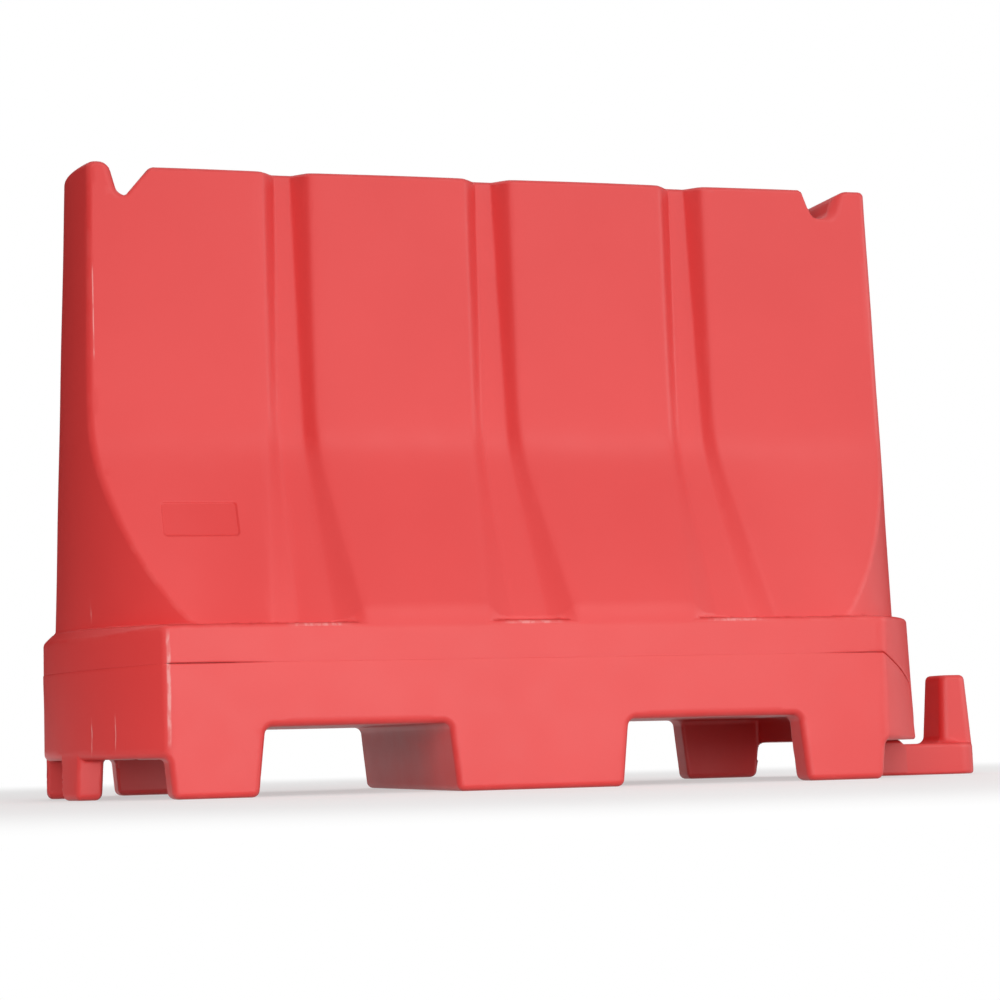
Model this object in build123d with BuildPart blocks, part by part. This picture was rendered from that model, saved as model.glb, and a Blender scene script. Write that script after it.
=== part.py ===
"""Plastic safety barrier, ballasted with water, with a swivelling coupling hook.

Millimetres. X runs along the barrier, -Y is its front, +Z is up.
The origin is on the floor, under the middle of the body.
"""
import os
from math import radians, sqrt, tan

from build123d import *

os.makedirs("parts", exist_ok=True)

# Whole body
left_end = 594.0  # base's ends at the floor, from the middle of the central foot
right_end = 602.0
body_height = 817.0
base_width = 500.0  # base, front to back at the floor
wall = 4.0  # thickness of both shells

# Base block
side_length = 950.0  # straight part of the base's long sides
ledge_height = 203.0  # top of the base, where the flared wall starts
left_lean = 1.0  # the sides lean in by this much at the ledge
right_lean = 12.0
side_lean = 2.0
ledge_chamfer = 4.0

# Feet and tunnels under the base
central_foot_length = 220.0  # at the floor
tunnel_length = 253.0  # each fork tunnel, at the floor
tunnel_height = 86.0
foot_draft = 6.0  # degrees that the feet narrow towards the floor
leg_depth = 45.0  # side legs, front to back
notch_height = 50.0  # clear height under both ends
foot_round = 9.0  # rounding of the feet's lower edges
ceiling_round = 10.0  # rounding where the feet meet the ceiling
corner_foot_inner = 97.0  # corner feet of the left end, from the middle line
corner_foot_outer = 143.0
corner_foot_back = 529.0  # inner face of the corner feet, from the middle

# Joint line of the two shells
seam_height = 166.0
seam_step = 0.8  # the base sits back under the upper shell by this much
seam_left_fall = 20.0  # the line falls this far along the left end
seam_right_run = 94.0  # along the right end it falls to the underside over this run
lap_height = 14.0  # the base's rim reaches this far up inside the upper shell
lap_clearance = 0.3

# Upper wall
flare_half = 228.0  # half depth of the wall at the ledge
crease_height = 453.0
crease_half = 100.0  # half depth at the crease
top_half = 86.0  # half depth at the top
crease_round = 60.0
upper_length = 1156.0  # end to end at the ledge
end_radius = 240.0  # bow of the wall's ends at the ledge
end_draft = 1.7  # degrees that the ends lean in
corner_round = 14.0  # rounding where the ends meet the front and the back
top_round = 12.0

# Flutes down the front and the back: mouth width, floor width, depth
flute_count = 3
flute_pitch = 277.0
flute_shift = -6.0
flute_top = (58.0, 22.0, 22.0)
flute_crease = (62.0, 31.0, 10.0)
flute_foot = (130.0, 40.0, 14.0)

# Notches across the top, one near each end
groove_left = 462.0  # inner lips, from the middle
groove_right = 450.0
groove_slant = 33.0  # run of the long inner slope
groove_floor = 8.0
groove_rise = 11.0  # run of the steep outer slope
groove_depth = 40.0
groove_round = 6.0

# Shallow bare panel on the flared front
panel_length = 96.0
panel_height = 50.0
panel_place = -415.0
panel_middle = 351.0  # height of its middle
panel_depth = 1.5
panel_round = 5.0

# Coupling hook at the right end
hook_width = 106.0
hook_thickness = 43.0
hook_shoulder = 592.0  # the bearing shoulder around the peg ends here, from the middle
shoulder_clearance = 0.3  # under the base
hook_tip = 706.0  # far end of the tongue, from the middle
hook_corner = 34.0  # rounding of the tongue's far corners
pivot_place = 530.0  # axis of the hook's peg, from the middle
peg_radius = 28.0
peg_top = 126.0
peg_clearance = 0.3
post_length = 51.0  # along the barrier, at the tongue
post_depth = 70.0
post_top = 136.0
post_draft = 3.0
post_round = 10.0
post_edge = 5.0

# Pocket at the left end for the next barrier's post
barrier_gap = 10.0  # gap between two coupled barriers
pocket_play = 5.0
pocket_headroom = 8.0
pocket_round = 10.0

# Filler in the top, between two flutes
well_radius = 56.0
well_depth = 22.0
fit_clearance = 0.3  # ring in its hole
filler_bore = 31.0  # radius
filler_flange = 50.0  # radius
filler_flange_thickness = 4.0
filler_neck_wall = 5.0
filler_neck_length = 30.0  # under the flange
filler_gasket_outer = 44.0
filler_gasket_thickness = 3.0
filler_cap_radius = 46.0
filler_cap_thickness = 7.0
filler_grip_length = 74.0
filler_grip_width = 12.0
filler_grip_height = 8.0
filler_stem_length = 26.0
screw_clearance = 0.5  # screwed stem in its bore
stem_wall = 4.0

# Drain in the back of the central foot
drain_height = 46.0
drain_well_radius = 34.0
drain_well_depth = 16.0
drain_bore = 15.0
drain_flange = 29.0
drain_flange_thickness = 3.0
drain_bush_wall = 4.0
drain_bush_length = 24.0
drain_gasket_outer = 24.0
drain_gasket_thickness = 2.5
drain_head_radius = 25.0
drain_head_thickness = 5.0
drain_grip_length = 40.0
drain_grip_width = 8.0
drain_grip_height = 5.0
drain_stem_length = 20.0

# Places worked out from the sizes above
body_length = left_end + right_end
reach = 2 * body_length  # cuts that pass through the whole barrier
half_width = base_width / 2
half_side = side_length / 2
foot_edge = central_foot_length / 2
leg_edge = foot_edge + tunnel_length
foot_slope = tan(radians(foot_draft))
flute_places = [flute_shift + (n - (flute_count - 1) / 2) * flute_pitch for n in range(flute_count)]
flare_slope = (flare_half - crease_half) / (crease_height - ledge_height)
wall_slope = (crease_half - top_half) / (body_height - crease_height)
filler_place = flute_pitch / 2
well_floor = body_height - well_depth
drain_seat = half_width - drain_well_depth
post_place = hook_tip - post_length / 2
pocket_place = post_place - body_length - barrier_gap
pocket_top = post_top + pocket_headroom
socket_radius = peg_radius + peg_clearance
socket_top = peg_top + peg_clearance


def base_block(inset):
    """The base as a solid block up to the ledge, its sides drawn in by an inset."""
    depth = half_width - inset
    ledge_depth = depth - side_lean
    cap_start = half_side - leg_depth
    with BuildPart() as block:
        with BuildSketch(Plane.YZ):
            with BuildLine():
                Polyline(
                    (-depth, 0),
                    (depth, 0),
                    (ledge_depth, ledge_height),
                    (-ledge_depth, ledge_height),
                    close=True,
                )
            make_face()
        extrude(amount=cap_start, both=True)
        for sign, tip, lean in ((-1, left_end, left_lean), (1, right_end, right_lean)):
            for height, end, side in (
                (0, tip, half_width),
                (ledge_height, tip - lean, half_width - side_lean),
            ):
                bow = end - half_side
                radius = (bow**2 + side**2) / (2 * bow)
                edge = side - inset
                corner = end - radius + sqrt((radius - inset) ** 2 - edge**2)
                with BuildSketch(Plane.XY.offset(height)):
                    with BuildLine():
                        Polyline(
                            (sign * corner, edge),
                            (sign * cap_start, edge),
                            (sign * cap_start, -edge),
                            (sign * corner, -edge),
                        )
                        ThreePointArc(
                            (sign * corner, -edge),
                            (sign * (end - inset), 0),
                            (sign * corner, edge),
                        )
                    make_face()
            loft(ruled=True)
    return block.part


def clear_space(grow):
    """The space under the base, grown into it: tunnels, ends, and room between the legs."""
    ceiling = tunnel_height + grow
    notch = notch_height + grow
    half = [
        (foot_edge - grow, grow),
        (foot_edge - grow + tunnel_height * foot_slope, ceiling),
        (leg_edge + grow - tunnel_height * foot_slope, ceiling),
        (leg_edge + grow, grow),
        (half_side - grow - notch_height * foot_slope, grow),
        (half_side - grow, notch),
        (reach, notch),
        (reach, -reach),
    ]
    other_half = [(-x, z) for x, z in reversed(half)]
    room_start = leg_edge - tunnel_height
    room_end = half_side + grow
    with BuildPart() as space:
        with BuildSketch(Plane.XZ):
            with BuildLine():
                Polyline(*half, *other_half, close=True)
            make_face()
            if foot_round > grow:
                fillet(vertices().filter_by_position(Axis.Y, grow - 0.1, grow + 0.1), foot_round - grow)
            fillet(vertices().filter_by_position(Axis.Y, ceiling - 0.1, ceiling + 0.1), ceiling_round + grow)
        extrude(amount=reach, both=True)
        with BuildSketch(Plane.XY.offset(ceiling)):
            with Locations(((room_start + room_end) / 2, 0), (-(room_start + room_end) / 2, 0)):
                Rectangle(room_end - room_start, base_width - 2 * leg_depth + 2 * grow)
        extrude(amount=-reach)
    return space.part


def corner_feet(inset):
    """The two feet beside the slot in the left end, their sides drawn in by an inset."""
    around = base_block(seam_step + inset)
    middle = (corner_foot_inner + corner_foot_outer) / 2
    with BuildPart() as feet:
        with BuildSketch(Plane.XY.offset(notch_height + wall)):
            with Locations((-corner_foot_back - inset, middle), (-corner_foot_back - inset, -middle)):
                Rectangle(
                    left_end,
                    corner_foot_outer - corner_foot_inner - 2 * inset,
                    align=(Align.MAX, Align.CENTER),
                )
        extrude(amount=-(notch_height + wall - inset), taper=foot_draft / 2)
        add(around, mode=Mode.INTERSECT)
    return feet.part


def below_seam(rise):
    """Everything under the joint line of the two shells, raised by a given amount."""
    with BuildPart() as below:
        with BuildSketch(Plane.XZ):
            with BuildLine():
                Polyline(
                    (-left_end, seam_height - seam_left_fall + rise),
                    (-half_side, seam_height + rise),
                    (half_side, seam_height + rise),
                    (half_side + 2 * seam_right_run, 2 * notch_height - seam_height + rise),
                    (half_side + 2 * seam_right_run, -reach),
                    (-reach, -reach),
                    (-reach, seam_height - seam_left_fall + rise),
                    close=True,
                )
            make_face()
        extrude(amount=reach, both=True)
    return below.part


def drain_space(grow):
    """The round well of the drain in the back of the central foot, grown into the base."""
    with BuildPart() as space:
        with BuildSketch(Plane.XZ.offset(grow - drain_seat)):
            with Locations((0, drain_height)):
                Circle(drain_well_radius + grow)
        extrude(amount=-base_width)
    return space.part


def flute_cutter(grow):
    """One flute of the front, grown into the wall."""
    top = body_height + well_depth
    with BuildPart() as flute:
        for lower, upper in (
            ((ledge_height, flare_half, flute_foot), (crease_height, crease_half, flute_crease)),
            ((crease_height, crease_half, flute_crease), (top, top_half - well_depth * wall_slope, flute_top)),
        ):
            for height, face, (mouth, floor, depth) in (lower, upper):
                slant = (mouth - floor) / 2 / depth
                start = face - depth - grow
                start_half = floor / 2 + grow * (sqrt(1 + slant**2) - slant)
                end = face + depth
                end_half = start_half + (end - start) * slant
                drop = grow if height == ledge_height else 0
                with BuildSketch(Plane.XY.offset(height - drop)):
                    with BuildLine():
                        Polyline(
                            (-start_half, -start),
                            (start_half, -start),
                            (end_half, -end),
                            (-end_half, -end),
                            close=True,
                        )
                    make_face()
            loft(ruled=True)
    return flute.part


def top_grooves(grow):
    """The slanted notches across the top, grown into the wall."""
    slant = groove_slant / groove_depth
    rise = groove_rise / groove_depth
    slant_shift = grow * (sqrt(1 + slant**2) - slant)
    rise_shift = grow * (sqrt(1 + rise**2) - rise)
    height = 2 * groove_depth + grow
    with BuildPart() as grooves:
        with BuildSketch(Plane.XZ):
            for sign, lip in ((-1, groove_left), (1, groove_right)):
                near = lip + groove_slant - slant_shift
                far = lip + groove_slant + groove_floor + rise_shift
                with BuildLine():
                    Polyline(
                        (sign * (near - height * slant), body_height + groove_depth),
                        (sign * near, body_height - groove_depth - grow),
                        (sign * far, body_height - groove_depth - grow),
                        (sign * (far + height * rise), body_height + groove_depth),
                        close=True,
                    )
                make_face()
            fillet(vertices().group_by(Axis.Y)[0], groove_round)
        extrude(amount=base_width, both=True)
    return grooves.part


def upper_form(inset):
    """The flared wall above the ledge as a solid, drawn in by an inset, with its cuts."""
    flute = flute_cutter(inset)
    grooves = top_grooves(inset)
    with BuildPart() as form:
        with BuildSketch(Plane.YZ):
            with BuildLine():
                Polyline(
                    (-flare_half, ledge_height - 4 * wall),
                    (flare_half, ledge_height - 4 * wall),
                    (flare_half, ledge_height),
                    (crease_half, crease_height),
                    (top_half, body_height),
                    (-top_half, body_height),
                    (-crease_half, crease_height),
                    (-flare_half, ledge_height),
                    close=True,
                )
            make_face()
            creases = vertices().filter_by_position(Axis.Y, crease_height - 0.1, crease_height + 0.1)
            fillet(creases, crease_round)
            if inset:
                offset(amount=-inset, kind=Kind.INTERSECTION, mode=Mode.REPLACE)
        extrude(amount=reach, both=True)
        with BuildSketch(Plane.XY.offset(ledge_height - 4 * wall)):
            SlotOverall(upper_length - 2 * inset, 2 * (end_radius - inset))
        extrude(amount=body_height, taper=end_draft, mode=Mode.INTERSECT)
        upright = edges().filter_by(lambda e: abs((e @ 0).Z - (e @ 1).Z) > wall)
        if corner_round > inset:
            fillet(upright.filter_by(lambda e: e.center().Z > ledge_height), corner_round - inset)
        if top_round > inset:
            fillet(faces().sort_by(Axis.Z)[-1].edges(), top_round - inset)
        with Locations(*[(place, 0, 0) for place in flute_places]):
            add(flute, mode=Mode.SUBTRACT)
            add(flute, rotation=(0, 0, 180), mode=Mode.SUBTRACT)
        add(grooves, mode=Mode.SUBTRACT)
        with BuildSketch(Plane.XY.offset(well_floor - inset)):
            with Locations((filler_place, 0)):
                Circle(well_radius + inset)
        extrude(amount=reach, mode=Mode.SUBTRACT)
    return form.part


# Room inside the base and the collar above it
inner_block = base_block(wall + seam_step)
inner_space = clear_space(wall)
inner_feet = corner_feet(wall)
inner_drain = drain_space(wall)
with BuildPart() as base_hollow:
    add(inner_block)
    add(inner_space, mode=Mode.SUBTRACT)
    add(inner_feet)
    add(inner_drain, mode=Mode.SUBTRACT)

# Rim of the base that stands inside the upper shell
rim_outer = base_block(wall + lap_clearance)
rim_inner = base_block(2 * wall + lap_clearance)
rim_space = clear_space(wall + lap_clearance)
rim_top = below_seam(lap_height)
rim_bottom = below_seam(-lap_height)
with BuildPart() as rim:
    add(rim_outer)
    add(rim_inner, mode=Mode.SUBTRACT)
    add(rim_space, mode=Mode.SUBTRACT)
    add(rim_top, mode=Mode.INTERSECT)
    add(rim_bottom, mode=Mode.SUBTRACT)

# Base shell: feet, tunnels, the post's pocket and the peg's socket
outer_block = base_block(seam_step)
outer_space = clear_space(0)
outer_feet = corner_feet(0)
outer_drain = drain_space(0)
seam = below_seam(0)
with BuildPart() as base_shell:
    add(outer_block)
    add(outer_space, mode=Mode.SUBTRACT)
    add(outer_feet)
    add(outer_drain, mode=Mode.SUBTRACT)
    add(base_hollow.part, mode=Mode.SUBTRACT)
    add(seam, mode=Mode.INTERSECT)
    add(rim.part)
    with BuildSketch(Plane.XY.offset(notch_height)):
        with Locations((pocket_place, 0)):
            RectangleRounded(
                post_length + 2 * (pocket_play + wall),
                post_depth + 2 * (pocket_play + wall),
                pocket_round + wall,
            )
    extrude(amount=pocket_top + wall - notch_height)
    with BuildSketch(Plane.XY.offset(notch_height)):
        with Locations((pivot_place, 0)):
            Circle(socket_radius + wall)
    extrude(amount=socket_top + wall - notch_height)
    with BuildSketch(Plane.XY.offset(pocket_top)):
        with Locations((pocket_place, 0)):
            RectangleRounded(post_length + 2 * pocket_play, post_depth + 2 * pocket_play, pocket_round)
    extrude(amount=-pocket_top, mode=Mode.SUBTRACT)
    with BuildSketch(Plane.XY.offset(socket_top)):
        with Locations((pivot_place, 0)):
            Circle(socket_radius)
    extrude(amount=-socket_top, mode=Mode.SUBTRACT)
    with BuildSketch(Plane.XZ.offset(-drain_seat)):
        with Locations((0, drain_height)):
            Circle(drain_bore + drain_bush_wall + fit_clearance)
    extrude(amount=2 * wall, mode=Mode.SUBTRACT)
base_shell.part.label = "base_shell"
export_step(base_shell.part, "parts/base_shell.step")

# Collar of the upper shell, and the room inside it
collar_block = base_block(0)
collar_room = base_block(wall)
with BuildPart() as collar:
    add(collar_block)
    chamfer(faces().sort_by(Axis.Z)[-1].edges(), ledge_chamfer)
    add(outer_space, mode=Mode.SUBTRACT)
    add(seam, mode=Mode.SUBTRACT)

with BuildPart() as collar_hollow:
    add(collar_room)
    split(bisect_by=Plane.XY.offset(ledge_height - wall), keep=Keep.BOTTOM)
    chamfer(faces().sort_by(Axis.Z)[-1].edges(), ledge_chamfer - (2 - sqrt(2)) * wall)
    add(inner_space, mode=Mode.SUBTRACT)

# Upper shell: collar, flared wall with flutes, notched top and filler well
wall_outside = upper_form(0)
wall_inside = upper_form(wall)
panel_face = flare_half - (panel_middle - ledge_height) * flare_slope
panel_plane = Plane((panel_place, -panel_face, panel_middle), (1, 0, 0), (0, -1, flare_slope))
with BuildPart() as upper_shell:
    add(collar.part)
    add(wall_outside)
    add(collar_hollow.part, mode=Mode.SUBTRACT)
    add(wall_inside, mode=Mode.SUBTRACT)
    with BuildSketch(Plane.XY.offset(well_floor)):
        with Locations((filler_place, 0)):
            Circle(filler_bore + filler_neck_wall + fit_clearance)
    extrude(amount=-2 * wall, mode=Mode.SUBTRACT)
    with BuildSketch(panel_plane):
        RectangleRounded(panel_length, panel_height, panel_round)
    extrude(amount=-panel_depth, mode=Mode.SUBTRACT)
upper_shell.part.label = "upper_shell"
export_step(upper_shell.part, "parts/upper_shell.step")

# Coupling hook: tongue on the floor, peg in the base's socket, free post
with BuildPart() as coupling_hook:
    with BuildSketch():
        with BuildLine():
            Polyline(
                (pivot_place, hook_width / 2),
                (hook_tip, hook_width / 2),
                (hook_tip, -hook_width / 2),
                (pivot_place, -hook_width / 2),
            )
            ThreePointArc(
                (pivot_place, -hook_width / 2),
                (pivot_place - hook_width / 2, 0),
                (pivot_place, hook_width / 2),
            )
        make_face()
        fillet(vertices().sort_by(Axis.X)[-2:], hook_corner)
    extrude(amount=hook_thickness)
    with BuildSketch(Plane.XY.offset(hook_thickness)):
        with BuildLine():
            Polyline(
                (pivot_place, hook_width / 2),
                (hook_shoulder, hook_width / 2),
                (hook_shoulder, -hook_width / 2),
                (pivot_place, -hook_width / 2),
            )
            ThreePointArc(
                (pivot_place, -hook_width / 2),
                (pivot_place - hook_width / 2, 0),
                (pivot_place, hook_width / 2),
            )
        make_face()
    extrude(amount=notch_height - shoulder_clearance - hook_thickness)
    with BuildSketch(Plane.XY.offset(hook_thickness)):
        with Locations((pivot_place, 0)):
            Circle(peg_radius)
    extrude(amount=peg_top - hook_thickness)
    with BuildSketch(Plane.XY.offset(hook_thickness)):
        with Locations((post_place, 0)):
            RectangleRounded(post_length, post_depth, post_round)
    extrude(amount=post_top - hook_thickness, taper=post_draft)
    fillet(faces().sort_by(Axis.Z)[-1].edges(), post_edge)
coupling_hook.part.label = "coupling_hook"
export_step(coupling_hook.part, "parts/coupling_hook.step")

# Filler: neck ring seated in the well, gasket on its flange, screw cap
gasket_seat = well_floor + filler_flange_thickness
cap_seat = gasket_seat + filler_gasket_thickness
with BuildPart() as filler_neck:
    with BuildSketch(Plane.XY.offset(well_floor)):
        with Locations((filler_place, 0)):
            Circle(filler_flange)
    extrude(amount=filler_flange_thickness)
    with BuildSketch(Plane.XY.offset(well_floor)):
        with Locations((filler_place, 0)):
            Circle(filler_bore + filler_neck_wall)
    extrude(amount=-filler_neck_length)
    with BuildSketch(Plane.XY.offset(gasket_seat)):
        with Locations((filler_place, 0)):
            Circle(filler_bore)
    extrude(amount=-filler_flange_thickness - filler_neck_length, mode=Mode.SUBTRACT)
filler_neck.part.label = "filler_neck"
export_step(filler_neck.part, "parts/filler_neck.step")

with BuildPart() as filler_gasket:
    with BuildSketch(Plane.XY.offset(gasket_seat)):
        with Locations((filler_place, 0)):
            Circle(filler_gasket_outer)
            Circle(filler_bore, mode=Mode.SUBTRACT)
    extrude(amount=filler_gasket_thickness)
filler_gasket.part.label = "filler_gasket"
export_step(filler_gasket.part, "parts/filler_gasket.step")

with BuildPart() as filler_cap:
    with BuildSketch(Plane.XY.offset(cap_seat)):
        with Locations((filler_place, 0)):
            Circle(filler_cap_radius)
    extrude(amount=filler_cap_thickness)
    with BuildSketch(Plane.XY.offset(cap_seat + filler_cap_thickness)):
        with Locations((filler_place, 0)):
            SlotOverall(filler_grip_length, filler_grip_width)
    extrude(amount=filler_grip_height)
    with BuildSketch(Plane.XY.offset(cap_seat)):
        with Locations((filler_place, 0)):
            Circle(filler_bore - screw_clearance)
            Circle(filler_bore - screw_clearance - stem_wall, mode=Mode.SUBTRACT)
    extrude(amount=-filler_stem_length)
filler_cap.part.label = "filler_cap"
export_step(filler_cap.part, "parts/filler_cap.step")

# Drain: bush seated in its well, gasket on its flange, screw plug
drain_gasket_seat = drain_seat + drain_flange_thickness
drain_plug_seat = drain_gasket_seat + drain_gasket_thickness
with BuildPart() as drain_bush:
    with BuildSketch(Plane.XZ.offset(-drain_seat)):
        with Locations((0, drain_height)):
            Circle(drain_flange)
    extrude(amount=-drain_flange_thickness)
    with BuildSketch(Plane.XZ.offset(-drain_seat)):
        with Locations((0, drain_height)):
            Circle(drain_bore + drain_bush_wall)
    extrude(amount=drain_bush_length)
    with BuildSketch(Plane.XZ.offset(-drain_gasket_seat)):
        with Locations((0, drain_height)):
            Circle(drain_bore)
    extrude(amount=drain_flange_thickness + drain_bush_length, mode=Mode.SUBTRACT)
drain_bush.part.label = "drain_bush"
export_step(drain_bush.part, "parts/drain_bush.step")

with BuildPart() as drain_gasket:
    with BuildSketch(Plane.XZ.offset(-drain_gasket_seat)):
        with Locations((0, drain_height)):
            Circle(drain_gasket_outer)
            Circle(drain_bore, mode=Mode.SUBTRACT)
    extrude(amount=-drain_gasket_thickness)
drain_gasket.part.label = "drain_gasket"
export_step(drain_gasket.part, "parts/drain_gasket.step")

with BuildPart() as drain_plug:
    with BuildSketch(Plane.XZ.offset(-drain_plug_seat)):
        with Locations((0, drain_height)):
            Circle(drain_head_radius)
    extrude(amount=-drain_head_thickness)
    with BuildSketch(Plane.XZ.offset(-drain_plug_seat - drain_head_thickness)):
        with Locations((0, drain_height)):
            SlotOverall(drain_grip_length, drain_grip_width)
    extrude(amount=-drain_grip_height)
    with BuildSketch(Plane.XZ.offset(-drain_plug_seat)):
        with Locations((0, drain_height)):
            Circle(drain_bore - screw_clearance)
            Circle(drain_bore - screw_clearance - stem_wall, mode=Mode.SUBTRACT)
    extrude(amount=drain_stem_length)
drain_plug.part.label = "drain_plug"
export_step(drain_plug.part, "parts/drain_plug.step")
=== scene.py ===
"""Looks of the plastic safety barrier: soft rotomoulded shells, a swivelling hook, a filler and a drain.

The large mouldings are distance forms in millimetres, with every edge rounded, turned into even meshes.
"""

import logging
import math
from dataclasses import dataclass, field
from enum import Enum
from itertools import product
from typing import Callable, Iterable, Sequence

import bmesh
import bpy
import numpy as np
from mathutils import Matrix, Vector


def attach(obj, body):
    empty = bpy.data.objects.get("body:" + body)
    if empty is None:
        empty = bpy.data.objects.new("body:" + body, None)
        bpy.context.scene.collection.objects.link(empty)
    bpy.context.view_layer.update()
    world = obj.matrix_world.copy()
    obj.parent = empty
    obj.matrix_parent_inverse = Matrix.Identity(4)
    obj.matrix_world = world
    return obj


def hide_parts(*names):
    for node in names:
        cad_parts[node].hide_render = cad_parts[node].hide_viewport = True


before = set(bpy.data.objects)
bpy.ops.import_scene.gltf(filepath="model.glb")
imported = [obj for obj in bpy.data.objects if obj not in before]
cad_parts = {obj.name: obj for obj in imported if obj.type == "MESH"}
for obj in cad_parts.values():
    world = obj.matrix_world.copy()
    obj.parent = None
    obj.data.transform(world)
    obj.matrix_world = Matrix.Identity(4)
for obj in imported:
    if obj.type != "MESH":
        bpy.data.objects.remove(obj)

LOG = logging.getLogger("barrier")
MM = 0.001  # in metres
WELD = 1e-3  # millimetres within which a cut keeps to a point that is there
HIDDEN_BEND = 0.4  # bending of points that lie off a form's surface
CORNER_STEPS = (0.0, 0.3, 0.7, 1.0)  # along a ring's rounded corner
CORNER_SHARE = 0.45  # most that such a corner takes of a side
CORNER_BENDS = (0.3, 0.8)  # bending at its ends and between them
Array = np.ndarray
Field = Callable[[Array, Array, Array], Array]
Pair = tuple[float, float]
Triple = tuple[float, float, float]
Colour = tuple[float, float, float, float]
Socket, Material, Mesh = bpy.types.NodeSocket, bpy.types.Material, bpy.types.Mesh
BMesh = bmesh.types.BMesh


def round_meet(a: Array, b: Array, radius: Array | float) -> Array:
    """Intersection of two distances with its edge rounded.

    Args:
        a: first distance, in millimetres.
        b: second distance.
        radius: radius of the rounding.

    Returns:
        The joint distance, below zero inside both.
    """
    corner = np.hypot(np.maximum(radius + a, 0), np.maximum(radius + b, 0))
    return np.minimum(-radius, np.maximum(a, b)) + corner


def round_join(a: Array, b: Array, radius: Array | float) -> Array:
    """Union of two distances with a fillet of a radius between them."""
    return -round_meet(-a, -b, radius)


def round_cut(a: Array, b: Array, radius: Array | float) -> Array:
    """The first form less the second, with the cut's edge rounded."""
    return round_meet(a, -b, radius)


def ease(value: Array, start: float, end: float) -> Array:
    """Smooth step from 0 at start to 1 at end."""
    t = np.clip((value - start) / (end - start), 0, 1)
    return t * t * (3 - 2 * t)


def rounded_box(u: Array, v: Array, half_u: Array | float, half_v: Array | float, radius: float) -> Array:
    """Distance to a rectangle with rounded corners.

    Args:
        u: first coordinate from its middle.
        v: second coordinate from its middle.
        half_u: half its first side.
        half_v: half its second side.
        radius: corner radius.

    Returns:
        The distance, below zero inside.
    """
    du = np.abs(u) - half_u + radius
    dv = np.abs(v) - half_v + radius
    return np.minimum(np.maximum(du, dv), 0) + np.hypot(np.maximum(du, 0), np.maximum(dv, 0)) - radius


class Turn(Enum):
    """Which way a screw fitting's axis points out of the barrier."""

    UP = "up"
    BACK = "back"

    def place(self, x: float, y: float, z: float) -> Matrix:
        """Matrix in metres from the fitting's own millimetres, its axis along local +Z, to the barrier.

        Args:
            x: the seat's place along the barrier, in millimetres.
            y: its place front to back.
            z: its height.

        Returns:
            The matrix.
        """
        turn = Matrix.Identity(4)
        if self is Turn.BACK:
            turn = Matrix(((1, 0, 0, 0), (0, 0, 1, 0), (0, -1, 0, 0), (0, 0, 0, 1)))
        return Matrix.Translation(Vector((x, y, z)) * MM) @ turn @ Matrix.Scale(MM, 4)


class Tree:
    """A node tree, with short calls for adding nodes to it."""

    def __init__(self, tree: bpy.types.NodeTree) -> None:
        """Takes over a tree."""
        self.nodes, self.links = tree.nodes, tree.links

    def add(self, kind: str, inputs: dict | None = None, **settings: object) -> bpy.types.Node:
        """Adds a node.

        Args:
            kind: the node's type name.
            inputs: values or sockets by input name or number.
            settings: attributes of the node.

        Returns:
            The node.
        """
        node = self.nodes.new(kind)
        for key, value in settings.items():
            setattr(node, key, value)
        for key, value in (inputs or {}).items():
            self.feed(node.inputs[key], value)
        return node

    def feed(self, socket: Socket, value: object) -> None:
        """Links a socket into an input, or sets its value.

        Args:
            socket: the input.
            value: a node's output, or a plain value.
        """
        if isinstance(value, Socket):
            self.links.new(value, socket)
        else:
            socket.default_value = value

    def math(self, operation: str, *values: object) -> Socket:
        """Result of a Math node on up to three values."""
        return self.add("ShaderNodeMath", dict(enumerate(values)), operation=operation).outputs[0]

    def seen(self) -> Socket:
        """1 for what is seen directly, in gloss or through glass, and 0 for the light that is given.

        Returns:
            The output with that number.
        """
        ray = self.add("ShaderNodeLightPath").outputs
        mirrored = self.math("MAXIMUM", ray["Is Glossy Ray"], ray["Is Transmission Ray"])
        return self.math("MAXIMUM", ray["Is Camera Ray"], mirrored)


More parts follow.
